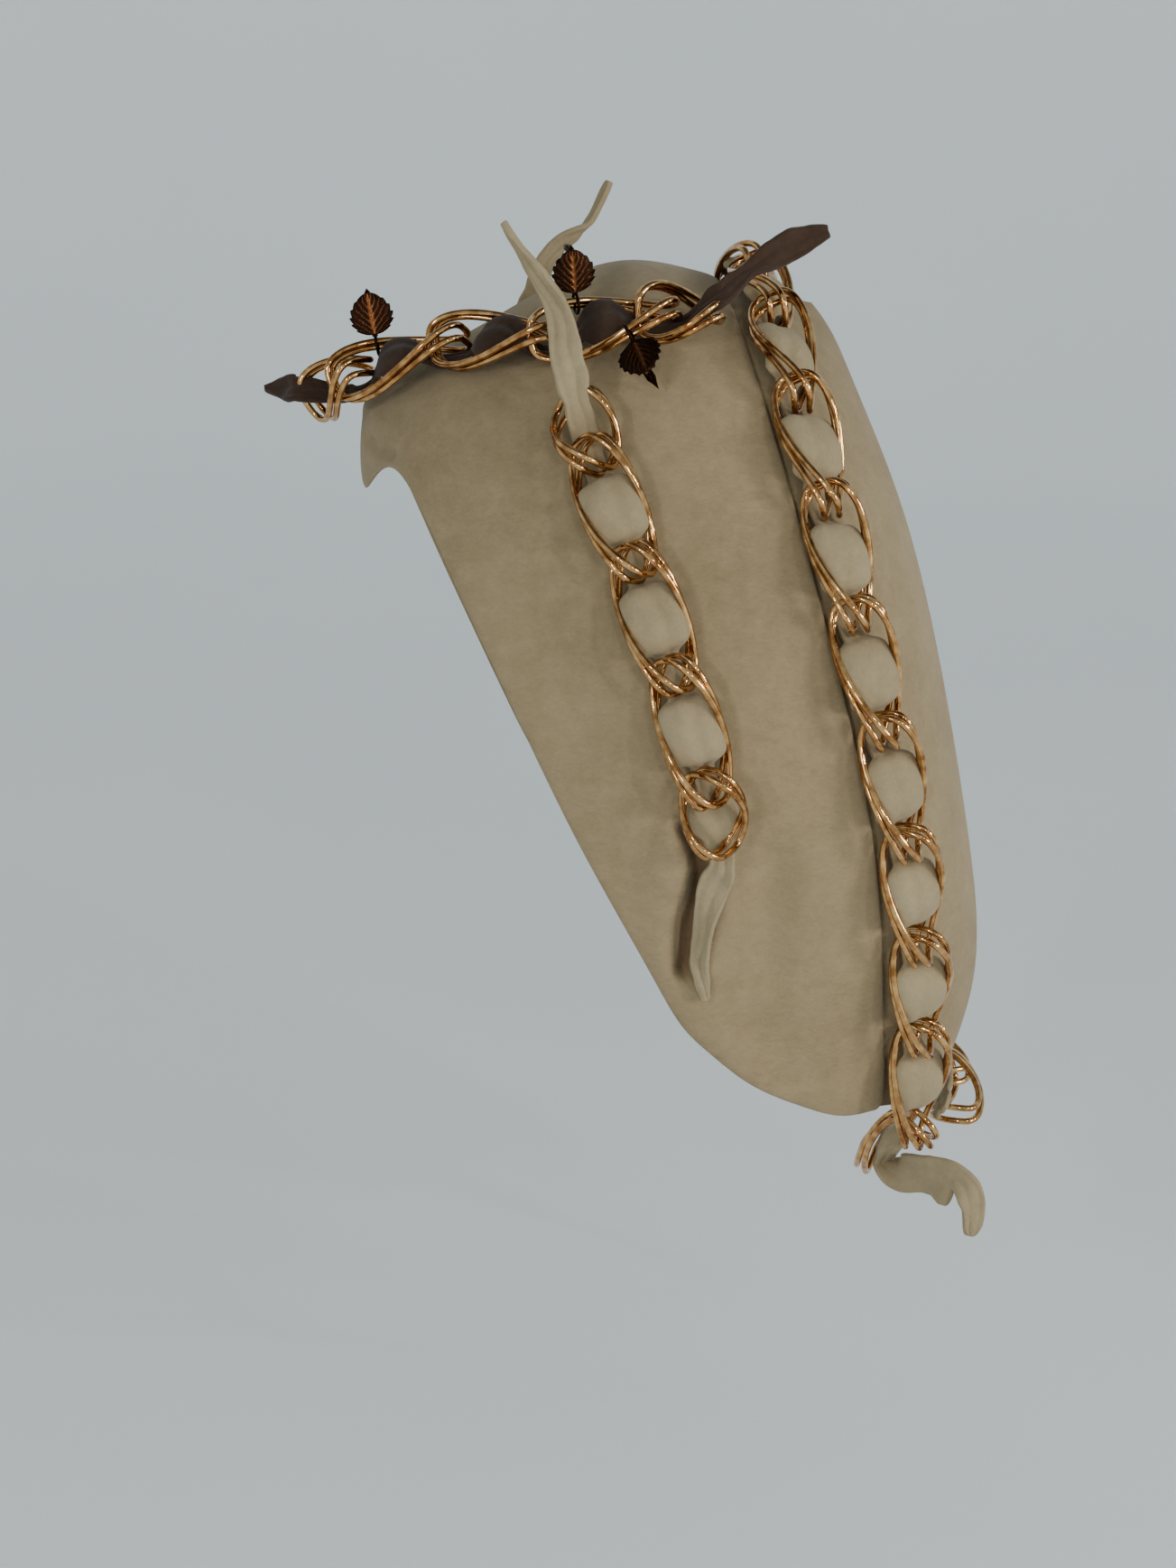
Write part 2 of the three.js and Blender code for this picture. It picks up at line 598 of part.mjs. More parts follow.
// Where a leaf drop hangs: its ring's middle on the wire and the way its leaf points
function leafPlace(chain, row) {
  const link = chain.links[row.link];
  const angle = row.turn * 2 * Math.PI;
  const centre = toWorld(link, wirePoint(angle, link.length));
  const forward = toWorld(link, wirePoint(angle + 0.01, link.length))
    .sub(toWorld(link, wirePoint(angle - 0.01, link.length))).normalize();
  const point = new THREE.Vector3().addScaledVector(link.along, row.ahead)
    .addScaledVector(link.out, row.up).addScaledVector(link.aside, row.aside);
  point.addScaledVector(forward, -point.dot(forward)).normalize();
  return { centre, point, forward, flat: new THREE.Vector3().crossVectors(point, forward).normalize() };
}

// The ring is a loop of six-sided wire, and the leaf a thin plate with a toothed edge, joined to it
const LEAF_EDGE = [
  { at: 0.00, half: 0.10 }, { at: 0.14, half: 0.62 }, { at: 0.24, half: 0.80 }, { at: 0.34, half: 1.00 },
  { at: 0.48, half: 0.86 }, { at: 0.58, half: 0.92 }, { at: 0.72, half: 0.58 }, { at: 0.82, half: 0.56 },
];
const ringSteps = 10;
const ringSides = 6;
function leafRing(drop) {
  const points = [];
  for (let i = 0; i < ringSteps; i += 1) {
    const angle = 2 * Math.PI * i / ringSteps;
    const outward = drop.point.clone().multiplyScalar(Math.cos(angle)).addScaledVector(drop.flat, Math.sin(angle));
    for (let j = 0; j < ringSides; j += 1) {
      const round = 2 * Math.PI * j / ringSides;
      points.push(drop.centre.clone().addScaledVector(outward, ringRadius + ringWire * Math.cos(round))
        .addScaledVector(drop.forward, ringWire * Math.sin(round)));
    }
  }
  return bodyFrom(points, ringTriangles(ringSteps, ringSides));
}
function leafPlate(drop) {
  const rim = [...LEAF_EDGE.map((row) => new THREE.Vector2(row.at, row.half)), new THREE.Vector2(1, 0),
    ...[...LEAF_EDGE].reverse().map((row) => new THREE.Vector2(row.at, -row.half))];
  const base = drop.centre.clone().addScaledVector(drop.point, ringRadius);
  const points = [-1, 1].flatMap((level) => rim.map(({ x, y }) => base.clone()
    .addScaledVector(drop.point, x * leafLength).addScaledVector(drop.forward, y * leafWidth / 2)
    .addScaledVector(drop.flat, level * leafThickness / 2)));
  const count = rim.length;
  const triangles = [];
  for (let i = 0; i < count; i += 1) {
    const next = (i + 1) % count;
    triangles.push([i, next, count + next], [i, count + next, count + i]);
  }
  for (const [a, b, c] of THREE.ShapeUtils.triangulateShape(rim, [])) {
    const [p, q] = THREE.ShapeUtils.isClockWise([rim[a], rim[b], rim[c]]) ? [b, c] : [c, b];
    triangles.push([a, q, p], [count + a, count + p, count + q]);
  }
  return bodyFrom(points, triangles);
}

// Two closed bodies joined in one
const wasm = await Module();
wasm.setup();
function solid(geometry) {
  const bare = geometry.clone().deleteAttribute('normal');
  const merged = mergeVertices(bare);
  return new wasm.Manifold(new wasm.Mesh({ numProp: 3, vertProperties: merged.attributes.position.array,
    triVerts: merged.index.array }));
}
function joined(first, second) {
  const mesh = solid(first).add(solid(second)).getMesh();
  const geometry = new THREE.BufferGeometry();
  geometry.setAttribute('position', new THREE.BufferAttribute(mesh.vertProperties, 3));
  geometry.setIndex(new THREE.BufferAttribute(mesh.triVerts, 1));
  geometry.computeVertexNormals();
  return geometry;
}

const feltMaterial = new THREE.MeshStandardMaterial({ color: 0x9c8b70, roughness: 0.95, metalness: 0 });
const stripMaterial = new THREE.MeshStandardMaterial({ color: 0xa89b82, roughness: 0.95, metalness: 0 });
const darkStripMaterial = new THREE.MeshStandardMaterial({ color: 0x3f332b, roughness: 0.9, metalness: 0 });
const chainMaterial = new THREE.MeshStandardMaterial({ color: 0xc08a55, roughness: 0.25, metalness: 1 });
const leafMaterial = new THREE.MeshStandardMaterial({ color: 0x5a3e2a, roughness: 0.45, metalness: 1 });

const turban = new THREE.Group();
function add(name, geometry, material) {
  const mesh = new THREE.Mesh(geometry, material.clone());
  mesh.name = name;
  turban.add(mesh);
}
function addChain(name, chain) {
  chain.links.forEach((each, i) => add(`${name}_${String(i + 1).padStart(2, '0')}`, link(each), chainMaterial));
}

add('front_panel', frontPanel(), feltMaterial);
add('back_panel', backPanel(), feltMaterial);

const onPanel = (across, along) => directions(panelForm, Math.min(across, 1), along);
const bandRows = [...BAND_START, ...BAND_HALF, BAND_TOP,
  ...BAND_HALF.map((row) => ({ ...row, along: -row.along })).reverse(), ...BAND_END];
const band = chainOf(routeOn(backOuter, backDirections, bandRows), linkLength, linkPitch);
addChain('band_link', band);
add('band_strip', wholeStrip(band, 1, withTail(leaving(band, false, LEAVING_OVER.slice(0, 5), 1), HANGING_TAIL, 1, 1),
  withTail(leaving(band, true, LEAVING_UNDER, 1), SHORT_TAIL, 1, 1)), stripMaterial);

for (const [name, side, tail] of [['left', 1, LEFT_RAISED_TAIL], ['right', -1, RIGHT_RAISED_TAIL]]) {
  const rows = SIDE_ROUTE.map((row) => ({ ...row, along: side * row.along }));
  const chain = chainOf(routeOn(panelOuter, onPanel, rows), endLinkLength, linkPitch);
  addChain(`side_link_${name}`, chain);
  const raised = withTail(leaving(chain, false, LEAVING_OVER, 1), tail, 1, side);
  const lying = [...leaving(chain, true, LEAVING_UNDER, 1), ...lowTail(side)];
  add(`side_strip_${name}`, wholeStrip(chain, 1, raised, lying), stripMaterial);
}

const wreath = chainOf(routeOn(panelOuter, onPanel, WREATH_ROUTE), endLinkLength, wreathPitch);
addChain('wreath_link', wreath);
const frontEnd = leaving(wreath, false, LEAVING_OVER, wreathStripShare);
const rearEnd = leaving(wreath, true, LEAVING_OVER, wreathStripShare);
add('wreath_strip', wholeStrip(wreath, wreathStripShare,
  withTail(frontEnd, WREATH_FRONT_TAIL, wreathStripShare, 1),
  withTail(rearEnd, WREATH_REAR_TAIL, wreathStripShare, 1)), darkStripMaterial);

LEAVES.forEach((row, i) => {
  const place = leafPlace(wreath, row);
  add(`leaf_charm_${i + 1}`, joined(leafRing(place), leafPlate(place)), leafMaterial);
});

export default turban;
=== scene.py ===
# %% [markdown]
# A moulded felt turban, made of two felt panels, four gold-plated curb chains, felt strips
# laced through them and three small leaf drops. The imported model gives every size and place,
# and each cell below dresses one kind of piece. Lengths are in metres.

# %% The frame and a few sizes
import math

import bmesh
import bpy
import numpy as np
from mathutils import Matrix, Vector, noise


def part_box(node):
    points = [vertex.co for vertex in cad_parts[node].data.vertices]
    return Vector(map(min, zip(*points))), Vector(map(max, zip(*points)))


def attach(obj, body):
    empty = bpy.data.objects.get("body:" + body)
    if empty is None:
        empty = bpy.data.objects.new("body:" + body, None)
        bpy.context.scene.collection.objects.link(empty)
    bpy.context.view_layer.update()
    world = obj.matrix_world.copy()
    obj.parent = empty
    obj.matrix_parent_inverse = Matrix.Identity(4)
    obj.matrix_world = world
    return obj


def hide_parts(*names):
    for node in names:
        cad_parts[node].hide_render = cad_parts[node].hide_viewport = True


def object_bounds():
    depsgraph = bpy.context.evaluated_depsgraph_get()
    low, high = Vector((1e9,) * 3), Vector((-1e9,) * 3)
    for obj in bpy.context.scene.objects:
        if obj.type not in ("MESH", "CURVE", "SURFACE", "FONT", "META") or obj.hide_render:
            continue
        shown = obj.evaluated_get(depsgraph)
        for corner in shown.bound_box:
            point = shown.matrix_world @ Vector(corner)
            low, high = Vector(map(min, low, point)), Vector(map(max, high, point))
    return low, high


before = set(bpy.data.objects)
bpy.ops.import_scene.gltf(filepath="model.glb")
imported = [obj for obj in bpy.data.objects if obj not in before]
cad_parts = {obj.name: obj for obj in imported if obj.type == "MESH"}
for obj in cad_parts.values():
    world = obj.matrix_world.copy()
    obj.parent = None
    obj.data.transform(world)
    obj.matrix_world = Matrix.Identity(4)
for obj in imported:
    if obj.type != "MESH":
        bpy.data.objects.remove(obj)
MM = 0.001
CROWN_MIDDLE = Vector((0, 0, -110 * MM))
cad_low, cad_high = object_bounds()
print("frame box in mm", [round(v / MM) for v in (*cad_low, *cad_high)])

# %% [markdown]
# The camera comes first. It stands a little above the turban and looks at its left side, with
# a long lens, so the outline is nearly a side view.

# %% Camera
VIEW_AZIMUTH = math.radians(84)
VIEW_ELEVATION = math.radians(11)
VIEW_DISTANCE = 900 * MM
VIEW_TARGET = Vector((0, -20.5, -142.1)) * MM
LENS = 76.5
SENSOR_WIDTH = 36

toward_camera = Vector((math.sin(VIEW_AZIMUTH) * math.cos(VIEW_ELEVATION),
                        -math.cos(VIEW_AZIMUTH) * math.cos(VIEW_ELEVATION),
                        math.sin(VIEW_ELEVATION)))
camera = bpy.data.objects.new("camera", bpy.data.cameras.new("camera"))
bpy.context.scene.collection.objects.link(camera)
bpy.context.scene.camera = camera
camera.location = VIEW_TARGET + toward_camera * VIEW_DISTANCE
camera.rotation_mode = "QUATERNION"
camera.rotation_quaternion = toward_camera.to_track_quat("Z", "Y")
camera.data.lens = LENS
camera.data.sensor_width = SENSOR_WIDTH
print("camera at", [round(v / MM) for v in camera.location])

# %% [markdown]
# Materials could be wired by hand in the node editor, but as text a finish is easier to read
# and to change. So they are written as sums: Value wraps one socket and turns each operator
# into a Math node, and its reflected forms let a plain number stand on the left.

# %% Sums of sockets


class Value:
    def __init__(self, tree, socket):
        self.tree = tree
        self.socket = socket

    def math(self, operation, *others):
        node = self.tree.nodes.new("ShaderNodeMath")
        node.operation = operation
        for slot, item in zip(node.inputs, (self, *others)):
            if isinstance(item, Value):
                self.tree.links.new(item.socket, slot)
            else:
                slot.default_value = item
        return Value(self.tree, node.outputs[0])

    def __add__(self, other):
        return self.math("ADD", other)

    __radd__ = __add__

    def __mul__(self, other):
        return self.math("MULTIPLY", other)

    __rmul__ = __mul__

    def __sub__(self, other):
        return self.math("SUBTRACT", other)

    def __rsub__(self, other):
        return (self * -1) + other

    def clamp(self):
        return self.math("MAXIMUM", 0.0).math("MINIMUM", 1.0)


print("operators that make Math nodes: + - *")

# %% [markdown]
# Paint holds one material. Its constants go straight to the shader's own sockets, `node` adds
# any other node, and the short methods below name the few nodes that felt and metal need. A
# socket is given by its name, or by its number with an underscore, as on the Mix node, where
# several sockets share a name.

# %% One finish


class Paint:
    def __init__(self, name, **constants):
        self.material = bpy.data.materials.new(name)
        self.material.use_nodes = True
        self.tree = self.material.node_tree
        self.shader = self.tree.nodes["Principled BSDF"]
        for socket, value in constants.items():
            self.shader.inputs[socket.replace("_", " ")].default_value = value

    def node(self, kind, settings=None, output=0, **sockets):
        node = self.tree.nodes.new("ShaderNode" + kind)
        for key, value in (settings or {}).items():
            if key == "stops":
                self.set_stops(node.color_ramp, value)
            else:
                setattr(node, key, value)
        for key, value in sockets.items():
            slot = node.inputs[int(key[1:]) if key[1:].isdigit() else key.replace("_", " ")]
            if isinstance(value, Value):
                self.tree.links.new(value.socket, slot)
            else:
                slot.default_value = value
        return Value(self.tree, node.outputs[output])

    def set_stops(self, ramp, stops):
        for element, (place, grey) in zip(ramp.elements, stops):
            element.position = place
            element.color = (grey, grey, grey, 1)

    def place(self, scale=(1, 1, 1), turn=(0, 0, 0)):
        source = self.node("TexCoord", output="Object")
        return self.node("Mapping", Vector=source, Scale=scale, Rotation=turn)

    def noise(self, where, scale, detail=3, roughness=0.5, distortion=0):
        return self.node("TexNoise", Vector=where, Scale=scale, Detail=detail,
                         Roughness=roughness, Distortion=distortion)

    def ramp(self, value, black_at, white_at):
        return self.node("ValToRGB", {"stops": [(black_at, 0), (white_at, 1)]}, Fac=value)

    def attribute(self, name):
        return self.node("Attribute", {"attribute_name": name}, "Fac")

    def mix(self, factor, first, second):
        return self.node("Mix", {"data_type": "RGBA"}, 2, _0=factor, _6=first, _7=second)

    def bump(self, height, strength, distance, below=None):
        extra = {} if below is None else {"Normal": below}
        return self.node("Bump", Height=height, Strength=strength, Distance=distance, **extra)

    def feed(self, socket, value):
        self.tree.links.new(value.socket, self.shader.inputs[socket])


def srgb(*channels):
    """A screen colour, each channel from 0 to 255, as the linear colour that a shader wants."""
    shares = [channel / 255 for channel in channels]
    return (*(share / 12.92 if share <= 0.04045 else ((share + 0.055) / 1.055) ** 2.4
              for share in shares), 1)


print("mid grey on screen is", round(srgb(128, 128, 128)[0], 3), "in a shader")

# %% [markdown]
# Wool felt has no weave. Up close it is a mat of fine fibres with a soft nap, darker in the
# hollows and faintly cloudy where the dye took unevenly. Two scales of noise stretched along
# the brushed direction give the nap, and a little sheen lifts the edges as the fibres do. Hair
# particles would give real fuzz, but the exported model would lose them. In the deepest tuck
# the light hardly reaches the wool, so the felt reads an attribute called fold and turns brown
# there. A piece without that attribute reads zero and keeps its plain colour.

# %% Felt
CLOUDS, STREAKS, MOTTLE, FIBRES = 16, 110, 260, 800  # features of each size along a metre
BRUSHED_TURN = (0.2, 0.35, 0)
LUMP_HEIGHT = 0.5 * MM
FIBRE_HEIGHT = 0.3 * MM
# painted shade: the brown that stands for the little light reaching the deepest tuck
FOLD_SHADE_BROWN = srgb(84, 50, 26)


def felt(name, dark, light, nap=(1, 1, 1), fibre=1.0, sheen=0.1):
    paint = Paint(name, Roughness=0.95, Sheen_Weight=sheen, Sheen_Roughness=0.5,
                  Specular_IOR_Level=0.12)
    body = paint.place()
    brushed = paint.place(scale=nap, turn=BRUSHED_TURN)
    clouds = paint.noise(body, CLOUDS, detail=4, roughness=0.6)
    streaks = paint.noise(brushed, STREAKS, detail=4, roughness=0.65, distortion=0.8)
    mottle = paint.noise(body, MOTTLE, detail=3)
    fibres = paint.noise(brushed, FIBRES, detail=5, roughness=0.75, distortion=0.7)
    tone = (clouds * 0.45 + streaks * 0.25 + mottle * 0.15 + fibres * 0.35 - 0.15).clamp()
    plain = paint.mix(paint.ramp(tone, 0.22, 0.78), dark, light)
    # painted shade: the fold attribute mixes the felt towards that brown in the deepest tuck
    paint.feed("Base Color", paint.mix(paint.attribute("fold"), plain, FOLD_SHADE_BROWN))
    lumps = paint.bump(streaks * 0.7 + mottle * 0.3, 0.35, LUMP_HEIGHT)
    paint.feed("Normal", paint.bump(fibres, 0.5 * fibre, FIBRE_HEIGHT, lumps))
    return paint.material


felt_paint = felt("camel_felt", srgb(122, 106, 78), srgb(172, 153, 119), nap=(1, 0.7, 1.25))
strip_paint = felt("cream_felt_strip", srgb(132, 117, 88), srgb(176, 160, 127), fibre=1.4)
dark_paint = felt("brown_felt_strip", srgb(46, 33, 25), srgb(78, 58, 44), fibre=1.3, sheen=0.12)
print("felt finishes", [paint.name for paint in (felt_paint, strip_paint, dark_paint)])

# %% [markdown]
# The chain is brass with a warm rose-gold plating, nearly mirror bright. A perfect mirror
# would look drawn, so small dents and faint wear, both from noise, break its highlights up.

# %% Rose-gold plating
WEAR, DENTS = 300, 420  # features along a metre
DENT_DEPTH = 0.2 * MM
POLISHED, WORN = 0.03, 0.08


def plated(name):
    paint = Paint(name, Metallic=1.0)
    body = paint.place()
    wear = paint.noise(body, WEAR, detail=4)
    paint.feed("Base Color", paint.mix(paint.ramp(wear, 0.35, 0.7),
                                       srgb(156, 104, 56), srgb(236, 188, 126)))
    paint.feed("Roughness", wear * WORN + POLISHED)
    paint.feed("Normal", paint.bump(paint.noise(body, DENTS, detail=2), 0.05, DENT_DEPTH))
    return paint.material


chain_paint = plated("rose_gold_plate")
print("chain finish", chain_paint.name)

# %% [markdown]
# The leaves are cast in bronze and darkened, and handling rubs the high veins bright again. A
# pattern of their own would slide off the veins, so the bronze reads their height from the
# leaf's own attribute, which the leaf drops write further below.

# %% Dark bronze
GRAIN = 900  # features along a metre
GRAIN_DEPTH = 0.15 * MM


def antique(name):
    paint = Paint(name, Metallic=1.0)
    grain = paint.noise(paint.place(), GRAIN, detail=4)
    rubbed = paint.ramp(paint.attribute("vein") * 0.7 + grain * 0.3, 0.35, 0.75)
    paint.feed("Base Color", paint.mix(rubbed, srgb(40, 24, 16), srgb(118, 72, 40)))
    paint.feed("Roughness", 0.5 - rubbed * 0.25)
    paint.feed("Normal", paint.bump(grain, 0.3, GRAIN_DEPTH))
    return paint.material


leaf_paint = antique("dark_bronze")
print("leaf finish", leaf_paint.name)

# %% [markdown]
# Every piece is made in the same way: a bmesh becomes an object at the origin, takes its
# finish, and tells the frame which body it rides on; the CAD nodes it stands for are hidden.

# %% New pieces
MERGE_GAP = 0.001 * MM


def new_piece(name, mesh, material, stands_for):
    data = bpy.data.meshes.new(name)
    mesh.to_mesh(data)
    mesh.free()
    piece = bpy.data.objects.new(name, data)
    bpy.context.scene.collection.objects.link(piece)
    data.materials.append(material)
    for face in data.polygons:
        face.use_smooth = True
    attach(piece, "root")
    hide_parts(*stands_for)
    return piece


def cad_copy(node):
    """A copy of a CAD node's loose triangles, joined at their corners."""
    mesh = bmesh.new()
    mesh.from_mesh(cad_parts[node].data)
    bmesh.ops.remove_doubles(mesh, verts=mesh.verts, dist=MERGE_GAP)
    return mesh


print("nodes to stand for", len(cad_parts))

# %% [markdown]
# Each felt panel starts as a copy of its CAD solid, a hollow wall. A block and steam give the
# real one its shape. Sculpting could do so here, but the solid already has the form, so its
# triangles are paired into quads and a subdivision surface rounds it, rims too, as pressed felt
# is round at its cut edge. The rounding draws the rims in, and the back panel, whose rim shows
# at the nape, is stretched to its CAD height again.

# %% Felt panels
PAIR_ANGLE = math.radians(60)
PAIR_SHAPE = math.radians(180)
PANEL_LEVELS = 3


def applied(piece):
    graph = bpy.context.evaluated_depsgraph_get()
    finished = bpy.data.meshes.new_from_object(piece.evaluated_get(graph))
    piece.modifiers.clear()
    piece.data = finished
    return piece


def felt_panel(node, name):
    mesh = cad_copy(node)
    bmesh.ops.join_triangles(mesh, faces=mesh.faces, angle_face_threshold=PAIR_ANGLE,
                             angle_shape_threshold=PAIR_SHAPE)
    piece = new_piece(name, mesh, felt_paint, [node])
    rounding = piece.modifiers.new("rounding", "SUBSURF")
    rounding.levels = rounding.render_levels = PANEL_LEVELS
    return applied(piece)


def full_height(piece, node):
    """Stretches a piece to the height of its CAD node, and says by how much at each end."""
    low, high = (corner[2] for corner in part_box(node))
    heights = [vert.co.z for vert in piece.data.vertices]
    bottom, top = min(heights), max(heights)
    for vert in piece.data.vertices:
        vert.co.z = low + (vert.co.z - bottom) / (top - bottom) * (high - low)
    return round((bottom - low) / MM, 1), round((high - top) / MM, 1)


front_shell = felt_panel("front_panel", "felt_front")
back_shell = felt_panel("back_panel", "felt_back")
print("back panel stretched by mm", full_height(back_shell, "back_panel"))
print("felt faces", len(front_shell.data.polygons), len(back_shell.data.polygons))

# %% [markdown]
# Where the front panel's rear edge meets the chain the real felt is steamed flat, and the CAD's
# few faces leave it lumpy. Smoothing the whole panel would lose its form, so smooth_vert runs
# only near a line through the chain's links, over a reach that grows a little each round and
# stops short of the rim below.

# %% Easing the felt along the chain
EASED_REACH = 22 * MM
EASED_ROUNDS = 40
EASED_ABOVE = -205 * MM
REACH_AT_FIRST, REACH_GROWTH = 0.7, 0.3
LOWER_WEIGHT = 10


def gap_to_line(points, line):
    """How far each point is from the nearest part of a line through a few places."""
    nearest = np.full(len(points), np.inf)
    for start, end in zip(line, line[1:]):
        run = end - start
        share = np.clip((points - start) @ run / (run @ run), 0, 1)
        gaps = np.linalg.norm(points - start - share[:, None] * run, axis=1)
        nearest = np.minimum(nearest, gaps)
    return nearest


def eased(piece, line):
    """Evens out the felt within reach of a line, as steam and a thumb would."""
    mesh = bmesh.new()
    mesh.from_mesh(piece.data)
    mesh.verts.ensure_lookup_table()
    points = np.array([vert.co[:] for vert in mesh.verts])
    gaps = gap_to_line(points, line) + LOWER_WEIGHT * np.maximum(0, EASED_ABOVE - points[:, 2])
    for number in range(EASED_ROUNDS):
        reach = EASED_REACH * (REACH_AT_FIRST + REACH_GROWTH * number / EASED_ROUNDS)
        close = [mesh.verts[i] for i in np.nonzero(gaps < reach)[0]]
        bmesh.ops.smooth_vert(mesh, verts=close, factor=0.5,
                              use_axis_x=True, use_axis_y=True, use_axis_z=True)
    mesh.to_mesh(piece.data)
    mesh.free()
    return len(close)


band_nodes = sorted(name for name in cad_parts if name.startswith("band_link"))
band_line = [np.mean(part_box(name), axis=0) for name in band_nodes]
print("eased points", eased(front_shell, band_line))

# %% [markdown]
# Strokes push the felt in and out like a thumb: each row is a line on the felt with a depth and
# a width in millimetres. On the side they are the tuck at the lower end of the side chain: a
# narrow deep valley, the fold that leans over it, the soft swelling in front and a shallow
# hollow behind. At the brow they are one short pleat and the roll above it. Each place is a
# share of the panel's box, and a shade says how far the felt is painted brown at a stroke's
# middle, a painted shade for the little light that reaches a deep fold.

# %% Strokes
SIDE_STROKES = [
    {"name": "valley", "depth": -5.2, "width": 2.5, "shade": 0.65,
     "places": [(0.97, 0.578, 0.375), (0.97, 0.603, 0.335), (0.96, 0.601, 0.300),
                (0.95, 0.585, 0.265), (0.92, 0.580, 0.205)]},
    {"name": "fold over the valley", "depth": 2.2, "width": 3.0,
     "places": [(0.97, 0.640, 0.345), (0.96, 0.648, 0.300), (0.94, 0.632, 0.250),
                (0.92, 0.622, 0.205)]},
    {"name": "swelling in front", "depth": 2.2, "width": 6.5,
     "places": [(0.97, 0.540, 0.350), (0.95, 0.540, 0.290), (0.92, 0.545, 0.220)]},
    {"name": "hollow behind", "depth": -2.2, "width": 6.5,
     "places": [(0.98, 0.735, 0.330), (0.96, 0.740, 0.270), (0.93, 0.735, 0.210)]},
    {"name": "soft bay below the chain", "depth": -0.9, "width": 9.0,
     "places": [(0.97, 0.690, 0.420), (0.97, 0.690, 0.360)]},
]
BROW_STROKES = [
    {"name": "brow pleat", "depth": -1.6, "width": 1.4,
     "places": [(0.560, 0.018, 0.792), (0.603, 0.029, 0.783), (0.670, 0.058, 0.780)]},
    {"name": "brow roll", "depth": 1.0, "width": 3.5,
     "places": [(0.530, 0.012, 0.830), (0.620, 0.038, 0.812), (0.720, 0.090, 0.800)]},
]
print("strokes", [stroke["name"] for stroke in SIDE_STROKES + BROW_STROKES])

# %% [markdown]
# Both faces of the felt move together, so the wall keeps its thickness. A side stroke reaches
# through the wall, so its distance is measured across the side alone and it pushes straight
# out. A brow stroke is shallow, and is measured in space and pushed away from the brow.

# %% Pushing the strokes in
BROW_OUTWARD = (0.35, -0.94, 0)


def pushed(piece, strokes, across_side):
    low, high = (np.array(corner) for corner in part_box("front_panel"))
    points = np.array([vert.co[:] for vert in piece.data.vertices])
    folds = np.zeros(len(points))
    for stroke in strokes:
        for side in (1, -1):
            line = low + np.array(stroke["places"]) * (high - low)
            line[:, 0] *= side
            if across_side:
                away = np.array([side, 0, 0])
                gaps = gap_to_line(points[:, 1:], line[:, 1:])
                gaps = np.where(points[:, 0] * side > 0, gaps, np.inf)
            else:
                away = np.array(BROW_OUTWARD) * (side, 1, 1)
                gaps = gap_to_line(points, line)
            strength = np.exp(-(gaps / (stroke["width"] * MM)) ** 2)
            points += (strength * stroke["depth"] * MM)[:, None] * away
            # a deep stroke's shade is kept as painted shade in the fold attribute
            folds = np.maximum(folds, strength * stroke.get("shade", 0))
    for vert, point in zip(piece.data.vertices, points):
        vert.co = point
    if folds.any():
        fold = piece.data.attributes.new("fold", "FLOAT", "POINT")
        fold.data.foreach_set("value", folds)
    return len(strokes)


print(pushed(front_shell, SIDE_STROKES, across_side=True), "side strokes",
      pushed(front_shell, BROW_STROKES, across_side=False), "brow strokes")

# %% [markdown]
# A link is an oval of two round wires side by side, turned at its ends so that the next link
# passes through it. A curve with a bevel could draw it, but a jeweller's way is as short here:
# a ring of wire is drawn out into an oval and twisted. The first function gives the middle of
# the pair of wires, as an angle goes round the link.

# %% The path of the wire
LINK_LENGTH = 39.5 * MM
END_LINK_LENGTH = 23 * MM
LINK_WIDTH = 16.8 * MM
WIRE_RADIUS = 0.88 * MM
END_TURN = math.radians(-56)
OVAL_POWER = 0.62
END_FLARE = 0.14


def wire_middle(angle, length):
    turn = END_TURN * math.cos(angle)
    oval = math.copysign(abs(math.sin(angle)) ** OVAL_POWER, math.sin(angle))
    side = oval * (LINK_WIDTH / 2 - WIRE_RADIUS)
    side *= 1 + END_FLARE * math.cos(angle) ** 2
    return Vector(((length / 2 - WIRE_RADIUS) * math.cos(angle),
                   side * math.cos(turn), side * math.sin(turn)))


print("twist from end to end in degrees", round(-2 * math.degrees(END_TURN)))

# %% [markdown]
# Each wire is a small circle, spun all the way round into a plain ring. `drawn_out` then sends
# a point of that ring to its place beside the path: its distance from the ring's radius becomes
# a distance from the path, and the two wires part a little at the link's ends, as bent wire does.

# %% A double link
END_SPREAD = 1.1
WIRE_SPACING = 1.05
LINK_STEPS = 64
WIRE_SIDES = 12
ANGLE_STEP = 0.02


def wire_ring(mesh, place, radius, sides, axis, steps):
    """Spins a circle of wire about the origin, and joins the last step to the first."""
    section = bmesh.ops.create_circle(mesh, segments=sides, radius=radius, matrix=place)
    edges = {edge for vert in section["verts"] for edge in vert.link_edges}
    bmesh.ops.spin(mesh, geom=[*section["verts"], *edges], cent=(0, 0, 0), axis=axis,
                   angle=2 * math.pi, steps=steps, use_merge=True)


def drawn_out(ring_point, ring_radius, length):
    angle = math.atan2(ring_point.y, ring_point.x)
    turn = END_TURN * math.cos(angle)
    ahead = wire_middle(angle + ANGLE_STEP, length) - wire_middle(angle - ANGLE_STEP, length)
    ahead = ahead.normalized()
    across = Vector((0, -math.sin(turn), math.cos(turn)))
    across = (across - ahead * across.dot(ahead)).normalized()
    beside = across.cross(ahead)
    outward = ring_point.xy.length - ring_radius
    apart = math.copysign(END_SPREAD * WIRE_RADIUS * math.cos(angle) ** 2, ring_point.z)
    return wire_middle(angle, length) - beside * outward + across * (ring_point.z + apart)


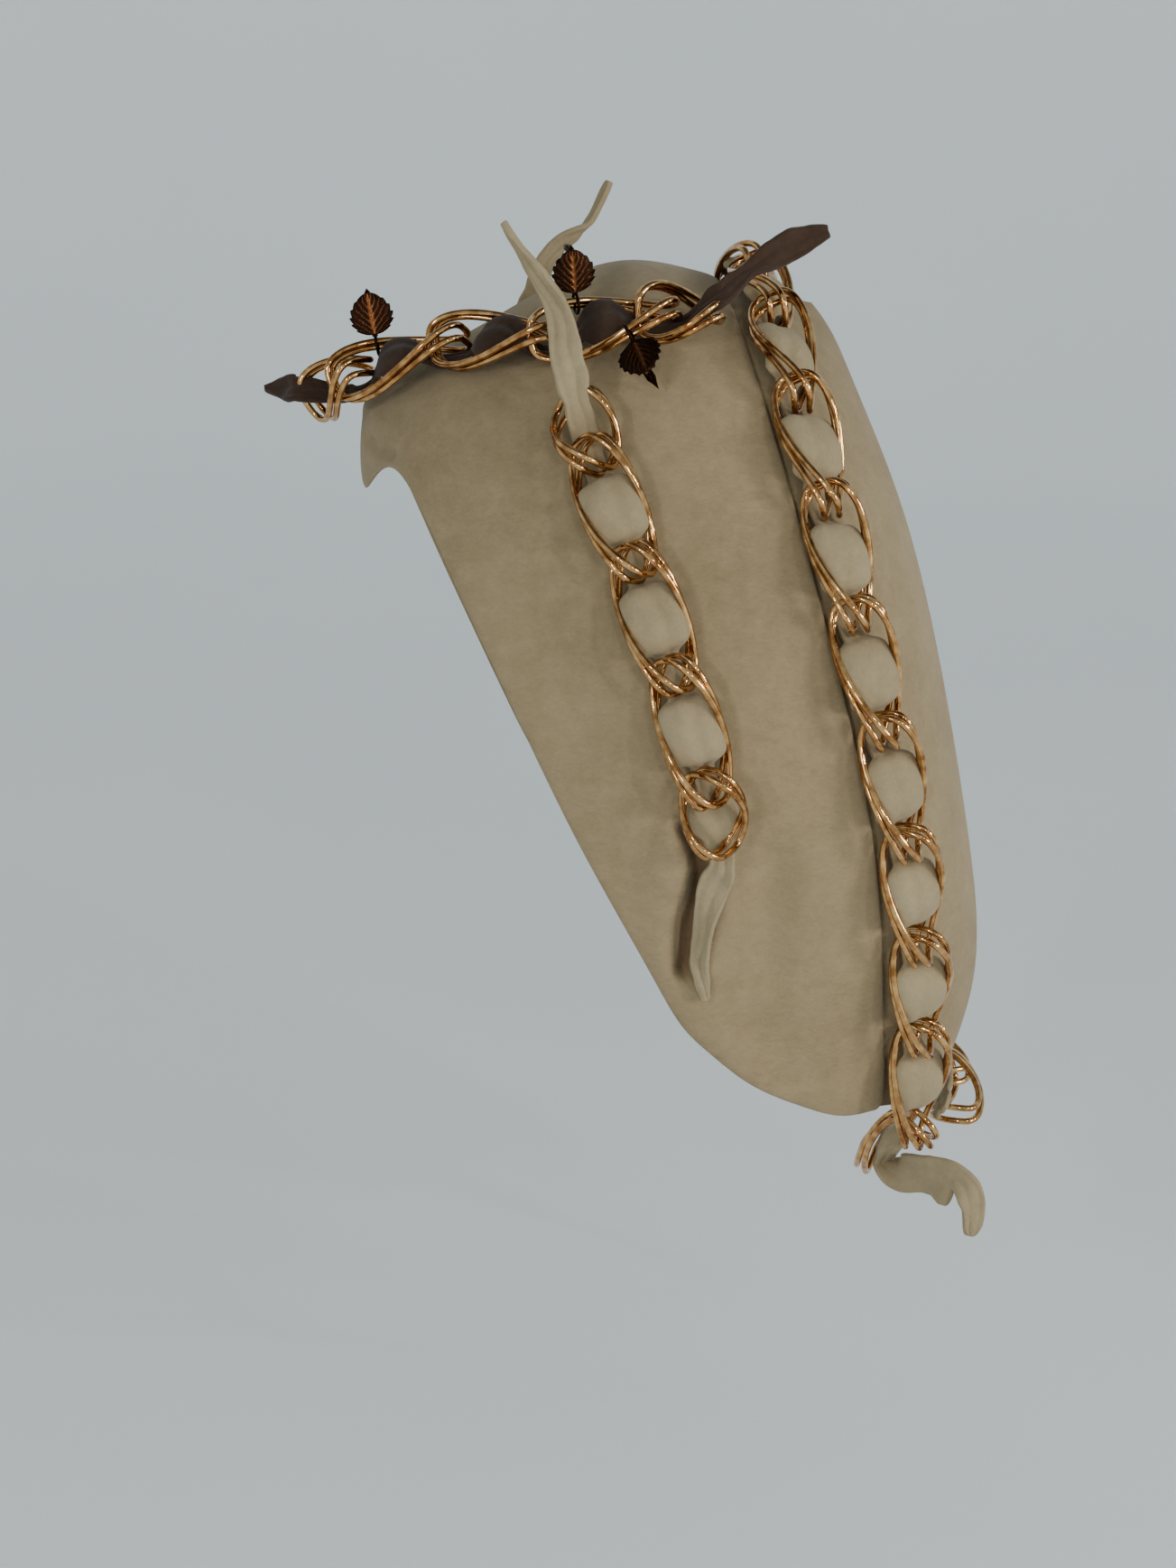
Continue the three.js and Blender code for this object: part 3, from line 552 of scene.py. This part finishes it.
def double_link(length):
    ring_radius = length / 3
    mesh = bmesh.new()
    for level in (-WIRE_SPACING * WIRE_RADIUS, WIRE_SPACING * WIRE_RADIUS):
        upright = Matrix.Rotation(math.pi / 2, 4, "X")
        place = Matrix.Translation((ring_radius, 0, level)) @ upright
        wire_ring(mesh, place, WIRE_RADIUS, WIRE_SIDES, (0, 0, 1), LINK_STEPS)
    for vert in mesh.verts:
        vert.co = drawn_out(vert.co, ring_radius, length)
    bmesh.ops.recalc_face_normals(mesh, faces=mesh.faces)
    return mesh


print("a link has", 2 * LINK_STEPS * WIRE_SIDES, "faces")

# %% [markdown]
# Every place on a chain takes such a link, set where its CAD link lies. The CAD link's corner
# points tell how it is turned: they spread most along its length and least through it. The
# link then points along the chain, with its outer side away from the middle of the crown.

# %% Setting the links
CHAINS = {"band_link": LINK_LENGTH, "side_link_left": END_LINK_LENGTH,
          "side_link_right": END_LINK_LENGTH, "wreath_link": END_LINK_LENGTH}


def own_directions(node):
    """The middle of a node and its long, wide and thin directions, from its corner points."""
    mesh = cad_copy(node)
    points = np.array([vert.co[:] for vert in mesh.verts])
    mesh.free()
    middle = points.mean(0)
    _, _, rows = np.linalg.svd(points - middle)
    return Vector(middle), [Vector(row) for row in rows], points


def placed(ahead, aside, out, middle):
    return Matrix.Translation(middle) @ Matrix((ahead, aside, out)).transposed().to_4x4()


def link_place(node, toward):
    middle, (ahead, aside, _), _ = own_directions(node)
    if ahead.dot(toward) < 0:
        ahead = -ahead
    out = ahead.cross(aside)
    if out.dot(middle - CROWN_MIDDLE) < 0:
        aside, out = -aside, -out
    return placed(ahead, aside, out, middle)


def chain(prefix, end_length):
    nodes = sorted(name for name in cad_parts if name.startswith(prefix))
    middles = [own_directions(name)[0] for name in nodes]
    last = len(nodes) - 1
    for i, name in enumerate(nodes):
        toward = middles[min(i + 1, last)] - middles[max(i - 1, 0)]
        mesh = double_link(end_length if i in (0, last) else LINK_LENGTH)
        bmesh.ops.transform(mesh, matrix=link_place(name, toward), verts=mesh.verts)
        new_piece(name.replace("link", "curb"), mesh, chain_paint, [name])
    return len(nodes)


for prefix, end_length in CHAINS.items():
    print(prefix, chain(prefix, end_length), "links")

# %% [markdown]
# The strips are cut from felt by hand, so their edges waver and each free end has its own cut.
# A real one is snipped from a sheet and pulled through the links, and a cloth simulation could
# lace it here. The CAD strip already gives the whole route, so a fine flat grid is laid along
# it instead, which keeps each window and tail where it belongs. A row of a cut is a distance
# from the tip and the half width on either side there, all in millimetres.

# %% Cut ends
CUTS = {
    "pointed": [(0, 0.6, 0.6), (4, 1.5, 1.4), (12, 2.3, 2.1), (22, 3.0, 2.8), (34, 4.2, 4.0),
                (50, 4.4, 4.2)],
    "leaf": [(0, 1.3, 1.0), (3, 2.8, 2.4), (10, 4.4, 3.9), (17, 3.6, 3.4), (24, 1.9, 1.9),
             (30, 3.0, 3.2), (42, 4.2, 4.0)],
    "folded": [(0, 0.8, 1.2), (3, 1.8, 1.7), (12, 2.4, 2.9), (20, 3.8, 3.2), (30, 3.4, 3.4),
               (44, 3.6, 3.4)],
    "flag": [(0, 0.5, 0.5), (4, 2.2, 2.0), (9, 3.6, 3.2), (16, 4.2, 3.8), (26, 3.6, 3.4)],
    "wedge": [(0, 0.7, 0.9), (5, 2.1, 1.7), (14, 2.7, 2.6), (24, 3.0, 3.2), (36, 4.4, 4.2)],
    "notched": [(0, 1.0, 1.4), (3, 2.6, 3.0), (10, 3.6, 3.8), (17, 3.4, 4.0), (19, 8.6, 4.4),
                (24, 8.0, 5.0), (30, 5.6, 5.4), (44, 4.8, 4.8)],
    "blunt": [(0, 2.0, 2.2), (2, 2.8, 3.0), (16, 3.6, 3.4)],
}
CUT_FADE = 8 * MM


def smooth(value, low, high):
    """0 below low and 1 above high, with an even bend between them."""
    share = min(1, max(0, (value - low) / (high - low)))
    return share * share * (3 - 2 * share)


def cut_half(cut, from_tip, side, plain):
    """The half width at a distance from a cut end, back to the plain one where the cut ends."""
    places = [row[0] * MM for row in CUTS[cut]]
    half = float(np.interp(from_tip, places, [row[side] * MM for row in CUTS[cut]]))
    return half + (plain - half) * smooth(from_tip, places[-1] - CUT_FADE, places[-1])


print("cut ends", list(CUTS))

# %% [markdown]
# The CAD strip is a long plain box section, so its corners lie in rings of four. They are read
# in order from one end to the other: a corner at an end meets fewer edges than the others, and
# each next ring is what the last one's edges lead to. The middles of a ring's two narrow sides
# are points of the strip's two edges, its rails.

# %% Reading a strip's rails
INNER_EDGES = 6
PAIRINGS = ((0, 1, 2, 3), (0, 2, 1, 3), (0, 3, 1, 2))


def rings_of(mesh):
    ends = [vert for vert in mesh.verts if len(vert.link_edges) < INNER_EDGES]
    first = sorted(ends, key=lambda vert: (vert.co - ends[0].co).length)[:4]
    rings, seen = [first], set(first)
    while True:
        near = {edge.other_vert(vert) for vert in rings[-1] for edge in vert.link_edges} - seen
        if not near:
            return rings
        rings.append(list(near))
        seen |= near


def side_middles(ring, wide):
    """The two sides of a ring of four corners that lie furthest apart along wide."""
    best = None
    for i, j, k, m in PAIRINGS:
        sides = [(ring[i].co + ring[j].co) / 2, (ring[k].co + ring[m].co) / 2]
        if (sides[1] - sides[0]).dot(wide) < 0:
            sides.reverse()
        apart = (sides[1] - sides[0]).dot(wide)
        if best is None or apart > best[0]:
            best = (apart, sides)
    return best[1]


def rails_of(node):
    """The widest ring says which way is wide, and its neighbours follow it both ways."""
    mesh = cad_copy(node)
    rings = rings_of(mesh)
    spans = [max((a.co - b.co).length for a in ring for b in ring) for ring in rings]
    widest = spans.index(max(spans))
    corner = rings[widest][0].co
    steps = sorted((vert.co - corner for vert in rings[widest][1:]), key=lambda step: step.length)
    rails = {}
    for numbers in (range(widest, len(rings)), range(widest, -1, -1)):
        wide = steps[1].normalized()
        for number in numbers:
            rails[number] = side_middles(rings[number], wide)
            wide = (rails[number][1] - rails[number][0]).normalized()
    mesh.free()
    return [[Vector(side) for side in rails[number]] for number in range(len(rings))]


def set_straight(rails, first):
    """The rails from the end that lies furthest along first, with their faces outwards."""
    if first.dot(sum(rails[0], Vector())) < first.dot(sum(rails[-1], Vector())):
        rails = rails[::-1]
    facing = 0
    for (left, right), (next_left, next_right) in zip(rails, rails[1:]):
        ahead = next_left + next_right - left - right
        facing += (right - left).cross(ahead).dot((left + right) / 2 - CROWN_MIDDLE)
    return [pair[::-1] for pair in rails] if facing < 0 else rails


print("rings along the band strip", len(rails_of("band_strip")))

# %% [markdown]
# The rails have few points, and a strip of felt bends without corners. So they are read through
# a smooth curve that passes through every point. A tail on the real hat twists until its face
# shows from the side. `rolls_to_side` measures how far the strip would have to roll for that.

# %% A smooth route and its rolls
STATIONS = np.linspace(0, 1, 240)
ROLL_PLACES = np.linspace(0.004, 0.996, len(STATIONS))
ROLL_STEP = 0.003
TO_THE_LEFT = Vector((1, 0, 0))


def between(points, at):
    """A point on the smooth curve through a list of points, at from 0 to 1."""
    place = at * (len(points) - 1)
    i = min(int(place), len(points) - 2)
    s = place - i
    a, b, c, d = (points[min(max(j, 0), len(points) - 1)] for j in range(i - 1, i + 3))
    return 0.5 * (2 * b + (c - a) * s + (2 * a - 5 * b + 4 * c - d) * s ** 2
                  + (3 * b - a - 3 * c + d) * s ** 3)


def running(left, right, at, step):
    """The way a strip runs at a place, from its rails a step before and a step after it."""
    before, after = max(at - step, 0), min(at + step, 1)
    return (between(left, after) + between(right, after)
            - between(left, before) - between(right, before)).normalized()


def rolls_to_side(left, right):
    """How far the strip would roll, at many places, to turn its face to the hat's left."""
    rolls = []
    for at in ROLL_PLACES:
        ahead = running(left, right, at, ROLL_STEP)
        wide = (between(right, at) - between(left, at)).normalized()
        out = wide.cross(ahead).normalized()
        aim = (TO_THE_LEFT - ahead * TO_THE_LEFT.dot(ahead)).normalized()
        rolls.append(math.atan2(out.cross(aim).dot(ahead), out.dot(aim)))
    return np.unwrap(rolls, period=math.pi)


print("places where a roll is measured", len(ROLL_PLACES))

# %% [markdown]
# A Route keeps what a strip needs to know about its way: the rails, how far along each pair of
# their points lies, and how long the two tails are. The rolls of a tail are counted from where
# the chain lets go of it, so that nothing jumps there, and are then taken only in part.

# %% Routes
ROLL_FADE = 12 * MM
ROUTE_STEP = 0.002


class Route:
    def __init__(self, node, first, tails, facing):
        rails = set_straight(rails_of(node), Vector(first))
        self.left = [left for left, _ in rails]
        self.right = [right for _, right in rails]
        self.widths = [(right - left).length for left, right in rails]
        middles = [(left + right) / 2 for left, right in rails]
        steps = [(after - before).length for before, after in zip(middles, middles[1:])]
        self.reached = np.cumsum([0, *steps])
        self.length = self.reached[-1]
        self.tails = tails
        rolls = rolls_to_side(self.left, self.right)
        self.rolls = [(rolls - math.pi * np.round(rolls[self.station(far)] / math.pi)) * part
                      for far, part in zip((tails[0], self.length - tails[1]), facing)]

    def place(self, far):
        return float(np.interp(far, self.reached, np.linspace(0, 1, len(self.reached))))

    def station(self, far):
        return int(self.place(far) * (len(STATIONS) - 1))

    def held(self, far, fade):
        """0 on a tail and 1 in the chain, seen from each end, with a fade before the chain."""
        return [smooth(from_tip, tail - fade, tail)
                for from_tip, tail in zip((far, self.length - far), self.tails)]

    def at(self, far):
        """The middle of the strip, its wide and outward directions and half its CAD width."""
        place = self.place(far)
        left, right = between(self.left, place), between(self.right, place)
        ahead = running(self.left, self.right, place, ROUTE_STEP)
        roll = sum((1 - held) * np.interp(place, STATIONS, rolls)
                   for held, rolls in zip(self.held(far, ROLL_FADE), self.rolls))
        wide = Matrix.Rotation(roll, 3, ahead) @ (right - left).normalized()
        out = wide.cross(ahead).normalized()
        return (left + right) / 2, wide, out, (right - left).length / 2


band_route = Route("band_strip", (0.2, 0, -1), (46 * MM, 16 * MM), (1.0, 0))
print("band strip runs for mm", round(band_route.length / MM))

# %% [markdown]
# Felt that is squeezed between two wires swells in the window of a link, with its edges tucked
# down, and shows fine gathers along its length. A free tail ripples, and its edges curl. Noise
# draws all of that, since no two windows are alike. `across` runs from -1 to 1 over the width.

# %% Wavering edges and swollen windows
EDGE_WAVER = 0.3 * MM
EDGE_SEEDS = {1: (9.0, 2.0), 2: (3.0, 5.0)}
EDGE_DROP = 0.9 * MM
GATHER = 0.26 * MM
RIPPLE, TAIL_RIPPLE = 0.4 * MM, 0.15 * MM
WANDER_LENGTH, QUIVER_LENGTH = 4 * MM, 1.3 * MM
RIPPLE_LENGTH, DRIFT_LENGTH = 8 * MM, 11 * MM
GATHER_TURN = 7


def waver(far, side):
    """How a hand-cut edge strays: a slow wander and a quick one, of its own on each side."""
    slow, quick = EDGE_SEEDS[side]
    return (noise.noise(Vector((far / WANDER_LENGTH, slow, 0)))
            + 0.5 * noise.noise(Vector((far / QUIVER_LENGTH, quick, 0))))


def lift(far, across, laced, pillow, rise_by, curl_by):
    """How far the felt stands out from its route."""
    ripple = noise.noise(Vector((far / RIPPLE_LENGTH, across * 0.8, 5.0)))
    drift = 3 * noise.noise(Vector((far / DRIFT_LENGTH, 1.0, 0)))
    gather = math.sin(across * GATHER_TURN + drift) * (1 - across * across)
    rise = rise_by * pillow * (1 - across ** 4) - EDGE_DROP * pillow * across ** 6
    rise += (RIPPLE + TAIL_RIPPLE * (1 - laced)) * ripple + GATHER * gather
    return rise + (1 - laced) * curl_by * across * across * (1 + ripple)


print("an edge strays by mm", [round(EDGE_WAVER * waver(far * MM, 1) / MM, 2) for far in range(4)])

# %% [markdown]
# The grid is bent along the route row by row, and a Solidify modifier gives it the felt's
# thickness. Where the CAD strip is wide it shows in a link's window, and swells there to the
# pillow's width.

# %% Making a strip
STRIP_THICKNESS = 1.6 * MM
STRIP_STEP = 1.0 * MM
STRIP_COLUMNS = 14
LACE_FADE = 3 * MM
WINDOW_FROM = 6.6 * MM
WINDOW_TO = 9.5 * MM
PILLOW_HALF = 7.1 * MM
PILLOW_RISE = 1.3 * MM
TAIL_CURL = 0.7 * MM
PILLOW_CALM = 0.6


def strip_mesh(route, cuts, broadness, rise_by, curl_by, trim):
    mesh = bmesh.new()
    bmesh.ops.create_grid(mesh, x_segments=STRIP_COLUMNS, size=0.5,
                          y_segments=int(route.length / STRIP_STEP))
    for vert in mesh.verts:
        across, far = 2 * vert.co.x, trim + (vert.co.y + 0.5) * (route.length - trim)
        middle, wide, out, plain = route.at(far)
        laced = math.prod(route.held(far, LACE_FADE))
        pillow = laced * smooth(2 * plain, WINDOW_FROM, WINDOW_TO)
        side = 2 if across > 0 else 1
        half = cut_half(cuts[0], far - trim, side, plain)
        half = cut_half(cuts[1], route.length - far, side, half)
        half += (PILLOW_HALF * broadness - half) * pillow
        half += EDGE_WAVER * waver(far, side) * (1 - PILLOW_CALM * pillow)
        raised = lift(far, across, laced, pillow, rise_by, curl_by)
        vert.co = middle + wide * (across * half) + out * raised
    bmesh.ops.recalc_face_normals(mesh, faces=mesh.faces)
    return mesh


def felt_strip(route, node, name, material, cuts,
               broadness=1.0, rise_by=PILLOW_RISE, curl_by=TAIL_CURL, trim=0):
    mesh = strip_mesh(route, cuts, broadness, rise_by, curl_by, trim)
    piece = new_piece(name, mesh, material, [node])
    wall = piece.modifiers.new("wall", "SOLIDIFY")
    wall.thickness = STRIP_THICKNESS
    wall.offset = 0
    rounding = piece.modifiers.new("rounding", "SUBSURF")
    rounding.levels = rounding.render_levels = 1


felt_strip(band_route, "band_strip", "strip_band", strip_paint,
           ("notched", "blunt"), curl_by=0.4 * MM)

# %% [markdown]
# The three short strips have two free tails each. The side ones are alike but for their cuts
# and twist. The dark one in the wreath is broader and fuller, and its front tail is trimmed,
# because the CAD strip runs on too far over the brow.

# %% The short strips
SIDE_TAILS = (62 * MM, 50 * MM)
SIDE_CURL = 0.35 * MM
SIDE_STRIPS = [("left", "pointed", 0.4), ("right", "folded", 0.2)]

for side, upper_cut, facing in SIDE_STRIPS:
    node = f"side_strip_{side}"
    felt_strip(Route(node, (0, 0, 1), SIDE_TAILS, (facing, 0)), node, f"strip_{side}",
               strip_paint, (upper_cut, "wedge"),
               curl_by=SIDE_CURL)
wreath_route = Route("wreath_strip", (0, -1, 0), (28 * MM, 40 * MM), (0.8, 0.3))
felt_strip(wreath_route, "wreath_strip", "strip_wreath", dark_paint,
           ("flag", "leaf"), broadness=1.1, rise_by=1.9 * MM, trim=11 * MM)

# %% [markdown]
# A leaf drop is a cast leaf with a toothed edge, a midrib and side veins. It could be sculpted,
# but two short functions describe it well: how wide the leaf is along its length, with a tooth
# where each vein ends, and how high its veins stand. `at` runs from stem to tip.

# %% Outline and veins of a leaf
LEAF_LENGTH = 11 * MM
LEAF_WIDTH = 11.5 * MM
TEETH = 6
TOOTH_BITE = 0.14
STEM_SHARE = 0.05
OVAL_LEAN, OVAL_FULLNESS = 0.85, 0.55
RIB_WIDTH, VEIN_WIDTH, VEIN_SLANT = 0.12, 0.2, 0.55
RIB_HEIGHT, VEIN_HEIGHT = 0.9, 0.8


def leaf_half_width(at):
    oval = math.sin(math.pi * at ** OVAL_LEAN) ** OVAL_FULLNESS if 0 < at < 1 else 0
    tooth = 1 - TOOTH_BITE + TOOTH_BITE * ((at * TEETH) % 1)
    return LEAF_WIDTH / 2 * (oval * tooth + STEM_SHARE * (1 - at))


def vein_height(side, at):
    rib = math.exp(-(side / RIB_WIDTH) ** 2)
    slant = ((at - VEIN_SLANT * abs(side)) * TEETH) % 1
    veins = math.exp(-((slant - 0.5) / VEIN_WIDTH) ** 2) * (1 - abs(side)) ** 0.3
    return max(RIB_HEIGHT * rib, VEIN_HEIGHT * veins)


print("leaf half widths in mm", [round(leaf_half_width(at / 5) / MM, 1) for at in range(6)])

# %% [markdown]
# A fine grid takes the outline and the veins, is cupped a little as a cast leaf is, and keeps
# the height of its veins as the attribute that the bronze reads. Solidify makes it a plate, and
# a spun ring of wire holds it. The ring's points in the CAD stand out from the flat of the leaf,
# and so they tell where the ring is.

# %% Leaf drops
LEAF_THICKNESS = 0.9 * MM
PLATE_SHARE, RING_STANDS_OUT = 0.8, 0.7
LEAF_ROWS, LEAF_COLUMNS = 56, 24
VEIN_RISE = 0.45 * MM
SIDE_CUP, TIP_CUP = 0.08, 0.06
RING_RADIUS = 2.55 * MM
RING_WIRE = 0.4 * MM
RING_SIDES, RING_STEPS = 10, 28


def leaf_place(node):
    middle, (point, _, flat), corners = own_directions(node)
    heights = (corners - corners.mean(0)) @ np.array(flat)
    ring_middle = Vector(corners[np.abs(heights) > LEAF_THICKNESS * RING_STANDS_OUT].mean(0))
    if point.dot(middle - ring_middle) < 0:
        point = -point
    return placed(point, flat.cross(point), flat, ring_middle)


def leaf_drop(node, name):
    mesh = bmesh.new()
    bmesh.ops.create_grid(mesh, x_segments=LEAF_ROWS, y_segments=LEAF_COLUMNS, size=0.5)
    vein = mesh.verts.layers.float.new("vein")
    for vert in mesh.verts:
        at, side = vert.co.x + 0.5, 2 * vert.co.y
        vert[vein] = vein_height(side, at)
        cup = SIDE_CUP * side ** 2 * LEAF_WIDTH + TIP_CUP * at ** 2 * LEAF_LENGTH
        vert.co = Vector((RING_RADIUS + at * LEAF_LENGTH, side * leaf_half_width(at),
                          cup + VEIN_RISE * vert[vein] - LEAF_THICKNESS / 2))
    bmesh.ops.remove_doubles(mesh, verts=mesh.verts, dist=0.01 * MM)
    bmesh.ops.recalc_face_normals(mesh, faces=mesh.faces)
    bmesh.ops.solidify(mesh, geom=mesh.faces[:], thickness=LEAF_THICKNESS * PLATE_SHARE)
    wire_ring(mesh, Matrix.Translation((RING_RADIUS, 0, 0)), RING_WIRE, RING_SIDES, (0, 1, 0),
              RING_STEPS)
    bmesh.ops.transform(mesh, matrix=leaf_place(node), verts=mesh.verts)
    bmesh.ops.recalc_face_normals(mesh, faces=mesh.faces)
    return new_piece(name, mesh, leaf_paint, [node])


for number in (1, 2, 3):
    leaf = leaf_drop(f"leaf_charm_{number}", f"leaf_{number}")
    print(leaf.name, "has", len(leaf.data.polygons), "faces")

# %% [markdown]
# The studio is one surface: a pale floor that bends up into a round wall, so that no edge
# shows behind the turban and the polished wires mirror something plain. Its profile is a
# line, a quarter bend and a line, spun once round. A faint glow keeps the wall even and pale.

# %% Floor and wall
FLOOR_LEVEL = cad_low.z - 45 * MM
WALL_RADIUS = 3.2
WALL_HEIGHT = 4
BEND_RADIUS = 1.2
BEND_STEPS, WALL_STEPS = 24, 96
PLASTER = 3  # features along a metre
WALL_GLOW = 0.195
WALL_COLOUR = srgb(226, 232, 234)

profile = bmesh.new()
centre_vert = profile.verts.new((0, 0, FLOOR_LEVEL))
edge_vert = profile.verts.new((WALL_RADIUS - BEND_RADIUS, 0, FLOOR_LEVEL))
profile.edges.new((centre_vert, edge_vert))
bmesh.ops.spin(profile, geom=[edge_vert], axis=(0, -1, 0), angle=math.pi / 2, steps=BEND_STEPS,
               cent=(WALL_RADIUS - BEND_RADIUS, 0, FLOOR_LEVEL + BEND_RADIUS))
bend_top = max(profile.verts, key=lambda vert: vert.co.z)
wall_top = profile.verts.new((WALL_RADIUS, 0, FLOOR_LEVEL + WALL_HEIGHT))
profile.edges.new((bend_top, wall_top))
bmesh.ops.spin(profile, geom=[*profile.verts, *profile.edges], cent=(0, 0, 0), axis=(0, 0, 1),
               angle=2 * math.pi, steps=WALL_STEPS, use_merge=True)
bmesh.ops.remove_doubles(profile, verts=profile.verts, dist=0.1 * MM)
bmesh.ops.recalc_face_normals(profile, faces=profile.faces)
floor_data = bpy.data.meshes.new("studio_floor")
profile.to_mesh(floor_data)
profile.free()
floor = bpy.data.objects.new("studio_floor", floor_data)
bpy.context.scene.collection.objects.link(floor)
for face in floor_data.polygons:
    face.use_smooth = True
wall_paint = Paint("pale_wall", Roughness=0.9, Specular_IOR_Level=0.1,
                   Emission_Strength=WALL_GLOW, Emission_Color=WALL_COLOUR)
plaster = wall_paint.noise(wall_paint.place(), PLASTER, detail=2)
wall_paint.feed("Base Color", wall_paint.mix(plaster, WALL_COLOUR, srgb(234, 239, 240)))
floor_data.materials.append(wall_paint.material)
print("floor faces", len(floor_data.polygons))

# %% [markdown]
# A soft key light stands behind the turban's left side and rakes over the felt, so that the nap
# and the folds show. A weak fill opens the shadows from the front left. A third light only
# brightens the wall behind. Polished wire shows whatever is bright around it, so four small
# lamps are there for the short hard glints along the links.

# %% Lights
AIM = (0, 0, -0.12)
WALL_AIM = (-2.9, 0.1, -0.1)
GLINT_SIZE = 0.1
GLINT_COLOUR = (1.0, 0.99, 0.97)
GLINTS = [((1.6, 0.9, 0.4), 4.0), ((1.7, 0.15, 0.15), 2.6), ((1.3, -0.9, 0.35), 3.0),
          ((0.6, 1.6, 0.3), 3.0)]


def soft_light(name, place, aim, size, power, colour):
    lamp = bpy.data.lights.new(name, "AREA")
    lamp.shape = "DISK"
    lamp.size = size
    lamp.energy = power
    lamp.color = colour
    light = bpy.data.objects.new(name, lamp)
    bpy.context.scene.collection.objects.link(light)
    light.location = place
    light.rotation_mode = "QUATERNION"
    light.rotation_quaternion = (Vector(place) - Vector(aim)).to_track_quat("Z", "Y")


soft_light("key_light", (1.3, 1.6, 0.15), AIM, 0.5, 17, (1.0, 0.98, 0.95))
soft_light("fill_light", (1.8, -1.0, 0.2), AIM, 0.3, 4, (0.98, 0.98, 1.0))
soft_light("wall_light", (-1.9, 0.2, 1.7), WALL_AIM, 1.4, 2.5, (0.96, 0.98, 1.0))
for number, (place, power) in enumerate(GLINTS, 1):
    soft_light(f"glint_{number}", place, AIM, GLINT_SIZE, power, GLINT_COLOUR)
print("lights", len(bpy.data.lights))

# %% [markdown]
# A little light comes from everywhere, as in a room with pale walls, so no shadow is black.

# %% Air
AIR_COLOUR = srgb(214, 224, 232)
AIR_STRENGTH = 0.18

world = bpy.data.worlds.new("studio_air")
bpy.context.scene.world = world
world.use_nodes = True
world.node_tree.nodes["Background"].inputs["Color"].default_value = AIR_COLOUR
world.node_tree.nodes["Background"].inputs["Strength"].default_value = AIR_STRENGTH
print("air strength", AIR_STRENGTH)
